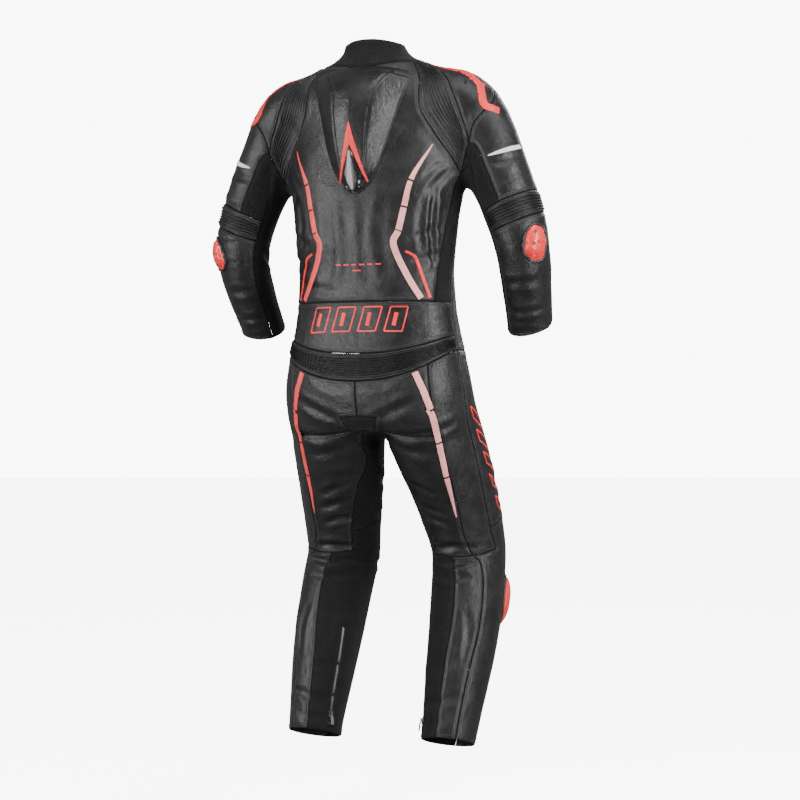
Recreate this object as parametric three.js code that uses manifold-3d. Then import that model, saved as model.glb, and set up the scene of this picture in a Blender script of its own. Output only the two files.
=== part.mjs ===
// Motorcycle race suit, one piece, worn form with nobody inside. Millimetres, +Z up.
// The wearer faces -Y, the wearer's left is +X, the origin is the middle of the neck opening's base.
// The left half of every panel grid is worked out on one smooth body form and mirrored.
import * as THREE from 'three';
import Module from 'manifold-3d';

const wasm = await Module();
wasm.setup();

// ---------------------------------------------------------------- cloth sizes
const WALL = 1.8; // leather and stretch wall
const SEAM_INSET = 0.15; // each panel stops this far from the seam line
const LIE_GAP = 0.3; // clear of the panel below
const STRIPE_WALL = 1.2;
const RIDGE = 3.2; // height of an accordion ridge

// ---------------------------------------------------------------- body form
// Trunk sections: height, half width, front depth, back depth, squareness.
const TRUNK = [
  { z: 90, half: 60, front: -38, back: 60, power: 2.0 },
  { z: 48, half: 64, front: -44, back: 62, power: 2.0 },
  { z: 30, half: 78, front: -54, back: 66, power: 2.05 },
  { z: 12, half: 104, front: -66, back: 72, power: 2.1 },
  { z: -15, half: 126, front: -80, back: 82, power: 2.2 },
  { z: -60, half: 150, front: -98, back: 97, power: 2.3 },
  { z: -130, half: 168, front: -116, back: 109, power: 2.4 },
  { z: -200, half: 177, front: -121, back: 115, power: 2.4 },
  { z: -270, half: 173, front: -114, back: 118, power: 2.4 },
  { z: -340, half: 165, front: -106, back: 117, power: 2.4 },
  { z: -400, half: 160, front: -102, back: 108, power: 2.4 },
  { z: -480, half: 166, front: -105, back: 105, power: 2.4 },
  { z: -560, half: 180, front: -116, back: 110, power: 2.4 },
  { z: -640, half: 192, front: -122, back: 116, power: 2.3 },
  { z: -700, half: 188, front: -116, back: 102, power: 2.2 },
  { z: -780, half: 180, front: -104, back: 86, power: 2.2 },
];
const TRUNK_FLOOR = -722; // the trunk form ends here, between the legs
// Limb axes: middle of the limb, half width across, half depth front to back.
const ARM = [
  { x: 60, y: 4, z: -56, across: 46, deep: 50 },
  { x: 120, y: 4, z: -52, across: 52, deep: 56 },
  { x: 178, y: 0, z: -58, across: 56, deep: 59 },
  { x: 213, y: -2, z: -92, across: 59, deep: 60 },
  { x: 240, y: -2, z: -152, across: 60, deep: 60 },
  { x: 270, y: 0, z: -230, across: 60, deep: 60 },
  { x: 298, y: 0, z: -310, across: 57, deep: 58 },
  { x: 308, y: -12, z: -370, across: 53, deep: 54 },
  { x: 305, y: -46, z: -440, across: 49, deep: 50 },
  { x: 298, y: -84, z: -505, across: 45, deep: 46 },
  { x: 292, y: -119, z: -570, across: 42, deep: 44 },
];
const LEG = [
  { x: 86, y: 2, z: -600, across: 86, deep: 98 },
  { x: 94, y: -16, z: -655, across: 94, deep: 102 },
  { x: 107, y: -50, z: -727, across: 95, deep: 102 },
  { x: 120, y: -90, z: -802, across: 90, deep: 96 },
  { x: 130, y: -121, z: -868, across: 84, deep: 90 },
  { x: 139, y: -150, z: -940, across: 78, deep: 84 },
  { x: 142, y: -156, z: -985, across: 76, deep: 81 },
  { x: 147, y: -134, z: -1050, across: 75, deep: 79 },
  { x: 150, y: -100, z: -1140, across: 72, deep: 75 },
  { x: 149, y: -62, z: -1230, across: 65, deep: 67 },
  { x: 148, y: -30, z: -1310, across: 57, deep: 59 },
  { x: 146, y: -14, z: -1356, across: 54, deep: 55 },
  { x: 144, y: 4, z: -1410, across: 53, deep: 54 },
];
const AXIS_STEPS = 36;
const ARM_BLEND = 64; // softness of the fold between sleeve and trunk
const LEG_BLEND = 26;
const FLOOR_BLEND = 40;

const clamp = (v, lo, hi) => Math.min(hi, Math.max(lo, v));
const mix = (a, b, t) => a + (b - a) * t;
const rad = (deg) => (deg * Math.PI) / 180;
const mixPoint = (a, b, t) => [mix(a[0], b[0], t), mix(a[1], b[1], t), mix(a[2], b[2], t)];
const add = (a, b, s = 1) => [a[0] + b[0] * s, a[1] + b[1] * s, a[2] + b[2] * s];
const sub = (a, b) => [a[0] - b[0], a[1] - b[1], a[2] - b[2]];
const dot = (a, b) => a[0] * b[0] + a[1] * b[1] + a[2] * b[2];
const cross = (a, b) => [
  a[1] * b[2] - a[2] * b[1],
  a[2] * b[0] - a[0] * b[2],
  a[0] * b[1] - a[1] * b[0],
];
const unit = (a) => {
  const size = Math.hypot(a[0], a[1], a[2]) || 1;
  return [a[0] / size, a[1] / size, a[2] / size];
};

// Cubic through four values, at t between the middle two.
function cubic(a, b, c, d, t) {
  const slopeIn = (c - a) / 2;
  const slopeOut = (d - b) / 2;
  const t2 = t * t;
  const t3 = t2 * t;
  return (2 * t3 - 3 * t2 + 1) * b + (t3 - 2 * t2 + t) * slopeIn + (3 * t2 - 2 * t3) * c + (t3 - t2) * slopeOut;
}

// One value list read at a fractional row.
function readList(values, place) {
  const last = values.length - 1;
  const i = clamp(Math.floor(place), 0, last - 1);
  const before = values[Math.max(0, i - 1)];
  const after = values[Math.min(last, i + 2)];
  return cubic(before, values[i], values[i + 1], after, clamp(place - i, 0, 1));
}

function readRows(rows, keys, place) {
  const out = {};
  for (const key of keys) out[key] = readList(rows.map((row) => row[key]), place);
  return out;
}

const TRUNK_KEYS = ['half', 'front', 'back', 'power'];
const TRUNK_LISTS = Object.fromEntries(TRUNK_KEYS.map((key) => [key, TRUNK.map((row) => row[key])]));

function trunkSection(z) {
  let i = 0;
  while (i < TRUNK.length - 2 && z < TRUNK[i + 1].z) i += 1;
  const t = clamp((TRUNK[i].z - z) / (TRUNK[i].z - TRUNK[i + 1].z), 0, 1);
  const [half, front, back, power] = TRUNK_KEYS.map((key) => readList(TRUNK_LISTS[key], i + t));
  return { half, middle: (front + back) / 2, deep: (back - front) / 2, power };
}

// Limb axis as a fine chain with a frame at each joint of the chain.
function limbChain(rows) {
  const keys = ['x', 'y', 'z', 'across', 'deep'];
  const chain = [];
  for (let i = 0; i <= AXIS_STEPS; i += 1) {
    const row = readRows(rows, keys, (i / AXIS_STEPS) * (rows.length - 1));
    chain.push({ at: [row.x, row.y, row.z], across: row.across, deep: row.deep });
  }
  return chain;
}
const ARM_CHAIN = limbChain(ARM);
const LEG_CHAIN = limbChain(LEG);

function limbField(p, chain) {
  let best = Infinity;
  let near = null;
  for (let i = 0; i < chain.length - 1; i += 1) {
    const a = chain[i];
    const b = chain[i + 1];
    const way = sub(b.at, a.at);
    const t = clamp(dot(sub(p, a.at), way) / dot(way, way), 0, 1);
    const q = sub(p, mixPoint(a.at, b.at, t));
    const d = dot(q, q);
    if (d < best) {
      best = d;
      near = { a, b, t, q, way };
    }
  }
  const along = unit(near.way);
  const backward = unit(sub([0, 1, 0], along.map((v) => v * along[1])));
  const outward = cross(along, backward);
  const across = mix(near.a.across, near.b.across, near.t);
  const deep = mix(near.a.deep, near.b.deep, near.t);
  const ratio = Math.hypot(
    dot(near.q, outward) / across,
    dot(near.q, backward) / deep,
    dot(near.q, along) / across,
  );
  return Math.sqrt(best) * (1 - 1 / Math.max(ratio, 1e-6));
}

function trunkField(p) {
  const s = trunkSection(p[2]);
  const dx = Math.abs(p[0]);
  const dy = Math.abs(p[1] - s.middle);
  const ratio = ((dx / s.half) ** s.power + (dy / s.deep) ** s.power) ** (1 / s.power);
  return Math.hypot(dx, dy) * (1 - 1 / Math.max(ratio, 1e-6));
}

function softMin(a, b, k) {
  const h = Math.max(k - Math.abs(a - b), 0) / k;
  return Math.min(a, b) - (h * h * k) / 4;
}

// Zero on the cloth's outer face, negative inside.
function form(p) {
  const side = [Math.abs(p[0]), p[1], p[2]];
  let d = -softMin(-trunkField(p), -(TRUNK_FLOOR - p[2]), FLOOR_BLEND);
  if (p[2] > -640) d = softMin(d, limbField(side, ARM_CHAIN), ARM_BLEND);
  if (p[2] < -480) {
    const legs = softMin(limbField(side, LEG_CHAIN), limbField([-side[0], p[1], p[2]], LEG_CHAIN), LEG_BLEND);
    d = softMin(d, legs, LEG_BLEND);
  }
  return d;
}

const STEP = 0.05;
function slope(p) {
  return [0, 1, 2].map((axis) => {
    const up = [...p];
    const down = [...p];
    up[axis] += STEP;
    down[axis] -= STEP;
    return (form(up) - form(down)) / (2 * STEP);
  });
}

// A place on the cloth: the point, and its outward direction.
const LAND_ROUNDS = 14;
function land(guess, centred = false) {
  let p = [...guess];
  for (let i = 0; i < LAND_ROUNDS; i += 1) {
    const g = slope(p);
    const move = clamp(form(p), -25, 25) / Math.max(dot(g, g), 0.05);
    p = add(p, g, -move);
    if (centred) p[0] = 0;
  }
  const n = slope(p);
  if (centred) n[0] = 0;
  return { p, n: unit(n) };
}

// ---------------------------------------------------------------- seam lines
// Raglan lines from neck to armpit: back, back of shoulder, top, front of shoulder, front.
const SLEEVE_LINES = {
  back: [[95, 40, 10], [116, 60, -26], [121, 76, -58], [128, 82, -90], [157, 76, -135], [182, 60, -180], [193, 36, -214]],
  rear: [[104, 30, 11], [140, 34, 2], [166, 42, -28], [187, 44, -63], [203, 45, -98], [214, 46, -128], [219, 46, -155]],
  top: [[106, 10, 13], [130, 6, 13], [155, 3, 12], [180, 0, 9], [205, -2, 1], [226, -4, -18], [244, -4, -48]],
  fore: [[104, -24, 5], [125, -41, -8], [150, -52, -25], [172, -58, -48], [192, -62, -75], [207, -64, -103], [216, -62, -133]],
  front: [[92, -50, -6], [108, -72, -36], [122, -88, -68], [140, -94, -102], [160, -88, -140], [178, -72, -180], [190, -40, -214]],
};
const SLEEVE_ORDER = ['back', 'rear', 'top', 'fore', 'front'];
const RAGLAN_ROWS = 6;
const SLEEVE_STEP = 3; // columns between two sleeve lines
const SLEEVE_COLS = 12;
const ARM_COLS = 14; // with the two columns under the arm
// Sleeve rings: inner and outer point in the side-to-side plane, middle depth, tilt of the ring.
const SLEEVE_RINGS = [
  { innerX: 200, innerZ: -234, outerX: 268, outerZ: -94, y: -3, tilt: 0 },
  { innerX: 209, innerZ: -252, outerX: 290, outerZ: -146, y: -3, tilt: 0 },
  { innerX: 220, innerZ: -272, outerX: 309, outerZ: -200, y: -2, tilt: 0 },
  { innerX: 232, innerZ: -297, outerX: 328, outerZ: -252, y: -1, tilt: 0 },
  { innerX: 244, innerZ: -332, outerX: 346, outerZ: -292, y: -3, tilt: -6 },
  { innerX: 254, innerZ: -361, outerX: 358, outerZ: -328, y: -8, tilt: -12 },
  { innerX: 258, innerZ: -390, outerX: 361, outerZ: -364, y: -19, tilt: -18 },
  { innerX: 259, innerZ: -418, outerX: 358, outerZ: -400, y: -31, tilt: -22 },
  { innerX: 258, innerZ: -450, outerX: 352, outerZ: -436, y: -49, tilt: -26 },
  { innerX: 256, innerZ: -483, outerX: 346, outerZ: -472, y: -69, tilt: -28 },
  { innerX: 254, innerZ: -516, outerX: 340, outerZ: -508, y: -88, tilt: -28 },
];
// Seam angles of the sleeve rings: just below the armpit, and from the third ring on.
const SLEEVE_ANCHORS = [0, 3, 6, 9, 12, 13, 14];
const ARMPIT_ANGLES = [122, 90, 16, -58, -150, -194, -238];
const SLEEVE_ANGLES = [140, 88, 16, -60, -132, -176, -220];
const ELBOW_ROW = RAGLAN_ROWS + 4;
const FOREARM_ROW = ELBOW_ROW + 1;
const CUFF_ROW = RAGLAN_ROWS + SLEEVE_RINGS.length;

// Trunk rows: the centre-back and centre-front heights of each row down to the waist seam.
const BACK_HEIGHTS = [0, -30, -66, -102, -140, -180, -222, -270, -318, -366, -415, -465];
const FRONT_HEIGHTS = [-30, -58, -88, -120, -154, -188, -224, -272, -320, -368, -416, -465];
const WAIST_ROW = 11;
const BACK_COL = 5; // back seam of the side panel
const SIDE_COL = 7; // side seam
const ZIP_COL = 13;
const CENTRE_COL = 14;
const ZIP_HALF = 11;

// Hip rows: height at centre back, side and centre front; the last is the crotch row.
const HIP_ROWS = [
  { back: -465, side: -465, front: -465, leg: 0 },
  { back: -515, side: -499, front: -498, leg: 0 },
  { back: -568, side: -532, front: -530, leg: 0 },
  { back: -596, side: -546, front: -546, leg: 0 },
  { back: -622, side: -560, front: -563, leg: 0 },
  { back: -648, side: -598, front: -600, leg: 0.1 },
  { back: -674, side: -640, front: -640, leg: 0.35 },
  { back: -698, side: -684, front: -680, leg: 0.7 },
  { back: -716, side: -727, front: -712, leg: 1 },
];
const HIP_ANGLES = { cols: [0, 2, 4, 7, 10, 14], waist: [90, 62, 42, 4, -38, -90], crotch: [90, 66, 46, 12, -36, -90] };
const CROTCH_BACK = [0, 74, -716];
const CROTCH_FRONT = [0, -86, -712];
const CROTCH_UNDER = [0, -6, -730];
const CROTCH_ROW = 8;
const LEG_COLS = 16;
// Leg rings: height on the leg's axis, share of the axis tilt the ring takes, seam angles.
const LEG_RINGS = [
  { z: -768, tilt: 0.3, cols: [148, 106, 64, 22, -40, -146, -180] },
  { z: -812, tilt: 0.6, cols: [137, 101, 65, 24, -38, -134, -179] },
  { z: -858, tilt: 0.9, cols: [130, 97, 66, 25, -37, -124, -178] },
  { z: -906, tilt: 1, cols: [126, 95, 68, 26, -36, -117, -178] },
  { z: -956, tilt: 1, cols: [128, 96, 62, 22, -36, -116, -178] },
  { z: -1000, tilt: 0.6, cols: [128, 95, 52, 14, -36, -114, -178] },
  { z: -1045, tilt: 1, cols: [128, 92, 46, 8, -38, -112, -176] },
  { z: -1092, tilt: 1, cols: [128, 90, 44, 4, -40, -110, -175] },
  { z: -1142, tilt: 1, cols: [128, 91, 45, 4, -40, -110, -175] },
  { z: -1194, tilt: 1, cols: [130, 94, 48, 5, -40, -110, -174] },
  { z: -1246, tilt: 1, cols: [131, 96, 51, 6, -40, -110, -174] },
  { z: -1300, tilt: 1, cols: [132, 97, 53, 7, -40, -110, -174] },
  { z: -1348, tilt: 1, cols: [132, 97, 54, 8, -40, -110, -174] },
];
const LEG_ANCHORS = [0, 2, 4, 7, 10, 14, 15, 16];
const KNEE_ROW = CROTCH_ROW + 5;
const HEM_ROW = CROTCH_ROW + LEG_RINGS.length;

const COLLAR_ROWS = 2;
const COLLAR_TOP = { half: 61, deep: 50, middle: 10, back: 63, side: 56, front: 24 };

// Straight reading between anchor columns.
function readAnchors(cols, values, col) {
  let i = 0;
  while (i < cols.length - 2 && col > cols[i + 1]) i += 1;
  return mix(values[i], values[i + 1], (col - cols[i]) / (cols[i + 1] - cols[i]));
}

// ---------------------------------------------------------------- sleeve grid
const sleeve = [];
for (let row = 0; row <= RAGLAN_ROWS; row += 1) {
  const line = [];
  for (let col = 0; col <= SLEEVE_COLS; col += 1) {
    const at = Math.min(Math.floor(col / SLEEVE_STEP), SLEEVE_ORDER.length - 2);
    const from = SLEEVE_LINES[SLEEVE_ORDER[at]][row];
    const to = SLEEVE_LINES[SLEEVE_ORDER[at + 1]][row];
    line.push(land(mixPoint(from, to, col / SLEEVE_STEP - at)));
  }
  sleeve.push(line);
}
const armhole = sleeve[RAGLAN_ROWS];
armhole.push(land(mixPoint(armhole[SLEEVE_COLS].p, armhole[0].p, 0.5)));
armhole.push(armhole[0]);
SLEEVE_RINGS.forEach((ring, index) => {
  const centre = [(ring.innerX + ring.outerX) / 2, ring.y, (ring.innerZ + ring.outerZ) / 2];
  const outward = [(ring.outerX - ring.innerX) / 2, 0, (ring.outerZ - ring.innerZ) / 2];
  const depth = Math.min(60, Math.hypot(outward[0], outward[2]));
  const backward = [0, depth * Math.cos(rad(ring.tilt)), depth * Math.sin(rad(ring.tilt))];
  const settle = clamp(index / 2, 0, 1);
  const line = [];
  for (let col = 0; col < ARM_COLS; col += 1) {
    const near = readAnchors(SLEEVE_ANCHORS, ARMPIT_ANGLES, col);
    const far = readAnchors(SLEEVE_ANCHORS, SLEEVE_ANGLES, col);
    const angle = rad(mix(near, far, settle));
    line.push(land(add(add(centre, outward, Math.cos(angle)), backward, Math.sin(angle))));
  }
  line.push(line[0]);
  sleeve.push(line);
});

// ---------------------------------------------------------------- hip and leg grid
function trunkGuess(angle, z) {
  const s = trunkSection(z);
  const c = Math.cos(rad(angle));
  const v = Math.sin(rad(angle));
  const e = 2 / s.power;
  return [s.half * Math.abs(c) ** e, s.middle + s.deep * Math.sign(v) * Math.abs(v) ** e, z];
}

function legAxis(z) {
  let i = 0;
  while (i < LEG_CHAIN.length - 2 && z < LEG_CHAIN[i + 1].at[2]) i += 1;
  const a = LEG_CHAIN[i];
  const b = LEG_CHAIN[i + 1];
  const t = (z - a.at[2]) / (b.at[2] - a.at[2]);
  const way = unit(sub(b.at, a.at));
  return { at: mixPoint(a.at, b.at, t), lean: Math.atan2(way[1], -way[2]), across: a.across, deep: a.deep };
}

function legGuess(z, tilt, angle) {
  const axis = legAxis(z);
  const lean = axis.lean * tilt;
  const c = Math.cos(rad(angle)) * axis.across;
  const v = Math.sin(rad(angle)) * axis.deep;
  return add(add(axis.at, [c, 0, 0]), [0, Math.cos(lean) * v, Math.sin(lean) * v]);
}

const leg = [];
HIP_ROWS.forEach((row, index) => {
  const line = [];
  const share = index / CROTCH_ROW;
  for (let col = 0; col <= CENTRE_COL; col += 1) {
    const waist = readAnchors(HIP_ANGLES.cols, HIP_ANGLES.waist, col);
    const crotch = readAnchors(HIP_ANGLES.cols, HIP_ANGLES.crotch, col);
    const angle = mix(waist, crotch, share);
    const end = angle > 0 ? row.back : row.front;
    const z = mix(row.side, end, Math.sin(rad(Math.abs(angle))) ** 2);
    const low = mix(row.side, -727, 1);
    const around = readAnchors([0, 4, 7, 10, 14], [150, 62, 20, -38, -150], col);
    const round = legGuess(low, 0, around);
    const inward = col < 3 ? 1 - col / 3 : Math.max(0, (col - 11) / 3);
    const pole = col < 7 ? CROTCH_BACK : CROTCH_FRONT;
    const last = mixPoint(round, pole, inward);
    const guess = mixPoint(trunkGuess(angle, z), last, row.leg);
    const centred = col === 0 || col === CENTRE_COL;
    if (centred && index > 4) guess[0] = 0;
    if (col === ZIP_COL && index < 7) guess[0] = ZIP_HALF;
    line.push(land(guess, centred));
  }
  leg.push(line);
});
const crotchRow = leg[CROTCH_ROW];
crotchRow.push(land(CROTCH_UNDER, true));
crotchRow.push(crotchRow[0]);
for (const ring of LEG_RINGS) {
  const line = [];
  for (let col = 0; col < LEG_COLS; col += 1) {
    const angle = readAnchors(LEG_ANCHORS, [...ring.cols, ring.cols[0] - 360], col);
    line.push(land(legGuess(ring.z, ring.tilt, angle)));
  }
  line.push(line[0]);
  leg.push(line);
}

// ---------------------------------------------------------------- trunk grid
const trunk = [];
for (let row = 0; row <= RAGLAN_ROWS; row += 1) {
  const line = [];
  const rear = land(trunkGuess(90, BACK_HEIGHTS[row]), true);
  const fore = land(trunkGuess(-90, FRONT_HEIGHTS[row]), true);
  const rearEnd = sleeve[row][0];
  const foreEnd = sleeve[row][SLEEVE_COLS];
  for (let col = 0; col <= BACK_COL; col += 1) {
    if (col === 0) line.push(rear);
    else if (col === BACK_COL) line.push(rearEnd);
    else line.push(land(mixPoint(rear.p, rearEnd.p, col / BACK_COL)));
  }
  line.push(row === RAGLAN_ROWS ? armhole[SLEEVE_COLS + 1] : null);
  for (let col = SIDE_COL; col <= CENTRE_COL; col += 1) {
    const zipEdge = [ZIP_HALF, fore.p[1], fore.p[2]];
    if (col === SIDE_COL) line.push(foreEnd);
    else if (col === CENTRE_COL) line.push(fore);
    else line.push(land(mixPoint(foreEnd.p, zipEdge, (col - SIDE_COL) / (ZIP_COL - SIDE_COL))));
  }
  trunk.push(line);
}
for (let row = RAGLAN_ROWS + 1; row < WAIST_ROW; row += 1) {
  const share = (row - RAGLAN_ROWS) / (WAIST_ROW - RAGLAN_ROWS);
  trunk.push(trunk[RAGLAN_ROWS].map((place, col) => {
    const centred = col === 0 || col === CENTRE_COL;
    return land(mixPoint(place.p, leg[0][col].p, share), centred);
  }));
}
trunk.push(leg[0]);

// ---------------------------------------------------------------- collar grid
const neck = [
  ...trunk[0].slice(0, BACK_COL + 1),
  ...sleeve[0].slice(1, SLEEVE_COLS + 1),
  ...trunk[0].slice(SIDE_COL + 1, CENTRE_COL + 1),
];
const NECK_ZIP = neck.length - 2;
const collar = [neck];
for (let row = 1; row <= COLLAR_ROWS; row += 1) {
  collar.push(neck.map((place, col) => {
    const across = place.p[0] / COLLAR_TOP.half;
    const deep = (place.p[1] - COLLAR_TOP.middle) / COLLAR_TOP.deep;
    const size = Math.hypot(across, deep);
    const lift = deep / size > 0 ? COLLAR_TOP.back : COLLAR_TOP.front;
    const top = [
      (COLLAR_TOP.half * across) / size,
      COLLAR_TOP.middle + (COLLAR_TOP.deep * deep) / size,
      mix(COLLAR_TOP.side, lift, (deep / size) ** 2),
    ];
    if (col === NECK_ZIP) top[0] = ZIP_HALF;
    return land(mixPoint(place.p, top, row / COLLAR_ROWS), col === 0 || col === neck.length - 1);
  }));
}

// ---------------------------------------------------------------- panels
const panels = new Map(); // name -> list of four-cornered cells, outward side anticlockwise

function addCell(name, corners) {
  if (!panels.has(name)) panels.set(name, []);
  panels.get(name).push(corners);
}

// Cells of a grid between two rows and two columns; rows run down, columns run back to front.
function fill(name, grid, rows, cols) {
  for (let row = rows[0]; row < rows[1]; row += 1) {
    for (let col = cols[0]; col < cols[1]; col += 1) {
      addCell(name, [grid[row][col], grid[row][col + 1], grid[row + 1][col + 1], grid[row + 1][col]]);
    }
  }
}

// The same grid with each cell split, and ridges raised across its rows or columns.
function ridged(grid, rows, cols, split, ridges, across) {
  const out = [];
  const rowCount = (rows[1] - rows[0]) * split.rows;
  const colCount = (cols[1] - cols[0]) * split.cols;
  for (let r = 0; r <= rowCount; r += 1) {
    const line = [];
    for (let c = 0; c <= colCount; c += 1) {
      const row = Math.min(rows[0] + Math.floor(r / split.rows), rows[1] - 1);
      const col = Math.min(cols[0] + Math.floor(c / split.cols), cols[1] - 1);
      const t = r / split.rows - (row - rows[0]);
      const s = c / split.cols - (col - cols[0]);
      const p = mixPoint(
        mixPoint(grid[row][col].p, grid[row][col + 1].p, s),
        mixPoint(grid[row + 1][col].p, grid[row + 1][col + 1].p, s),
        t,
      );
      const n = unit(mixPoint(
        mixPoint(grid[row][col].n, grid[row][col + 1].n, s),
        mixPoint(grid[row + 1][col].n, grid[row + 1][col + 1].n, s),
        t,
      ));
      const edge = r === 0 || r === rowCount || c === 0 || c === colCount;
      const along = across === 'rows' ? r / rowCount : c / colCount;
      const lift = edge ? 0 : RIDGE * (0.5 - 0.5 * Math.cos(along * ridges * 2 * Math.PI));
      line.push({ p: add(p, n, lift), n });
    }
    out.push(line);
  }
  return out;
}

const SHOULDER_RIDGES = 6;
const ELBOW_RIDGES = 4;
const LUMBAR_RIDGES = 5;
const shoulderFolds = ridged(sleeve, [0, RAGLAN_ROWS], [0, SLEEVE_STEP], { rows: 1, cols: 4 }, SHOULDER_RIDGES, 'cols');
const elbowFolds = ridged(sleeve, [ELBOW_ROW, FOREARM_ROW], [0, 9], { rows: 8, cols: 1 }, ELBOW_RIDGES, 'rows');
const lumbarFolds = ridged(leg, [2, 4], [0, SIDE_COL], { rows: 5, cols: 1 }, LUMBAR_RIDGES, 'rows');

const whole = new Set([
  'collar', 'back_panel', 'waist_back', 'lumbar_accordion', 'crotch_gusset', 'front_zip',
]);

fill('collar', collar.slice().reverse(), [0, COLLAR_ROWS], [0, NECK_ZIP]);
fill('front_zip', collar.slice().reverse(), [0, COLLAR_ROWS], [NECK_ZIP, NECK_ZIP + 1]);
fill('back_panel', trunk, [0, WAIST_ROW], [0, BACK_COL]);
fill('side_panel', trunk, [RAGLAN_ROWS, WAIST_ROW], [BACK_COL, SIDE_COL]);
fill('front_panel', trunk, [0, WAIST_ROW], [SIDE_COL, ZIP_COL]);
fill('front_panel', leg, [0, 4], [SIDE_COL, ZIP_COL]);
fill('front_zip', trunk, [0, WAIST_ROW], [ZIP_COL, CENTRE_COL]);
fill('front_zip', leg, [0, 6], [ZIP_COL, CENTRE_COL]);
const foldCols = shoulderFolds[0].length - 1;
fill('shoulder_accordion', shoulderFolds, [0, RAGLAN_ROWS], [0, foldCols]);
fill('shoulder_panel', sleeve, [0, RAGLAN_ROWS], [SLEEVE_STEP, SLEEVE_COLS]);
fill('upperarm_rib', sleeve, [RAGLAN_ROWS, ELBOW_ROW], [0, SLEEVE_STEP]);
fill('upperarm_outer', sleeve, [RAGLAN_ROWS, ELBOW_ROW], [SLEEVE_STEP, 9]);
fill('sleeve_inner', sleeve, [RAGLAN_ROWS, CUFF_ROW], [9, ARM_COLS]);
fill('elbow_accordion', elbowFolds, [0, elbowFolds.length - 1], [0, 9]);
fill('forearm', sleeve, [FOREARM_ROW, CUFF_ROW], [0, 9]);
fill('waist_back', leg, [0, 2], [0, SIDE_COL]);
fill('lumbar_accordion', lumbarFolds, [0, lumbarFolds.length - 1], [0, SIDE_COL]);
fill('seat_panel', leg, [4, 6], [0, 1]);
fill('seat_panel', leg, [4, CROTCH_ROW], [1, 4]);
fill('crotch_gusset', leg, [6, CROTCH_ROW], [0, 1]);
fill('thigh_back', leg, [CROTCH_ROW, KNEE_ROW], [0, 4]);
fill('thigh_outer', leg, [4, KNEE_ROW], [4, SIDE_COL]);
fill('thigh_front', leg, [4, 6], [SIDE_COL, ZIP_COL]);
fill('thigh_front', leg, [6, CROTCH_ROW], [SIDE_COL, CENTRE_COL]);
fill('thigh_front', leg, [CROTCH_ROW, KNEE_ROW - 1], [SIDE_COL, ZIP_COL]);
fill('thigh_inner', leg, [CROTCH_ROW, KNEE_ROW - 1], [ZIP_COL, LEG_COLS]);
fill('calf_back', leg, [KNEE_ROW - 1, HEM_ROW], [ZIP_COL, LEG_COLS]);
fill('calf_back', leg, [KNEE_ROW, HEM_ROW], [0, 2]);
fill('calf_strip', leg, [KNEE_ROW, HEM_ROW], [2, 4]);
fill('shin_panel', leg, [KNEE_ROW - 1, KNEE_ROW], [SIDE_COL, ZIP_COL]);
fill('shin_panel', leg, [KNEE_ROW, HEM_ROW], [4, ZIP_COL]);

// ---------------------------------------------------------------- solids
const flipPoint = (v) => [-v[0], v[1], v[2]];
const mirrored = new Map();
function mirrorPlace(place) {
  if (Math.abs(place.p[0]) < 1e-6) return place;
  if (!mirrored.has(place)) mirrored.set(place, { p: flipPoint(place.p), n: flipPoint(place.n) });
  return mirrored.get(place);
}
const mirrorCells = (cells) => cells.map((cell) => cell.map(mirrorPlace).reverse());

function solidOf(points, triangles) {
  const mesh = new wasm.Mesh({
    numProp: 3,
    vertProperties: new Float32Array(points.flat()),
    triVerts: new Uint32Array(triangles.flat()),
  });
  return new wasm.Manifold(mesh);
}

// A wall over the cells, from offset "outer" down to offset "inner" along the outward direction.
function wallOver(cells, outer, inner, inset) {
  const index = new Map();
  const places = [];
  const id = (place) => {
    if (!index.has(place)) {
      index.set(place, places.length);
      places.push(place);
    }
    return index.get(place);
  };
  const faces = [];
  const edges = new Map();
  for (const cell of cells) {
    const ring = cell.map(id);
    const longWay = Math.hypot(...sub(cell[0].p, cell[2].p)) > Math.hypot(...sub(cell[1].p, cell[3].p));
    const [a, b, c, d] = longWay ? [ring[1], ring[2], ring[3], ring[0]] : ring;
    if (a !== b && b !== c && a !== c) faces.push([a, b, c]);
    if (a !== c && c !== d && a !== d) faces.push([a, c, d]);
    ring.forEach((from, i) => {
      const to = ring[(i + 1) % 4];
      if (from !== to) edges.set(`${from}_${to}`, [from, to]);
    });
  }
  const border = [...edges.values()].filter(([from, to]) => !edges.has(`${to}_${from}`));
  const pulls = places.map(() => []);
  for (const [from, to] of border) {
    const way = unit(sub(places[to].p, places[from].p));
    pulls[from].push(unit(cross(places[from].n, way)));
    pulls[to].push(unit(cross(places[to].n, way)));
  }
  const seated = places.map((place, i) => {
    if (pulls[i].length < 2 || inset === 0) return place.p;
    const [d1, d2] = pulls[i];
    const scale = inset / Math.max(1 + dot(d1, d2), 0.25);
    return add(place.p, add(d1, d2), scale);
  });
  const points = [
    ...seated.map((p, i) => add(p, places[i].n, outer)),
    ...seated.map((p, i) => add(p, places[i].n, inner)),
  ];
  const n = places.length;
  const triangles = [];
  for (const [a, b, c] of faces) {
    triangles.push([a, b, c]);
    triangles.push([c + n, b + n, a + n]);
  }
  for (const [from, to] of border) {
    const a = places[from].p;
    const b = places[to].p;
    const lower = a[2] === b[2] ? a[1] < b[1] : a[2] < b[2];
    if (lower) triangles.push([from, from + n, to + n], [from, to + n, to]);
    else triangles.push([from, from + n, to], [from + n, to + n, to]);
  }
  return solidOf(points, triangles);
}

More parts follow.
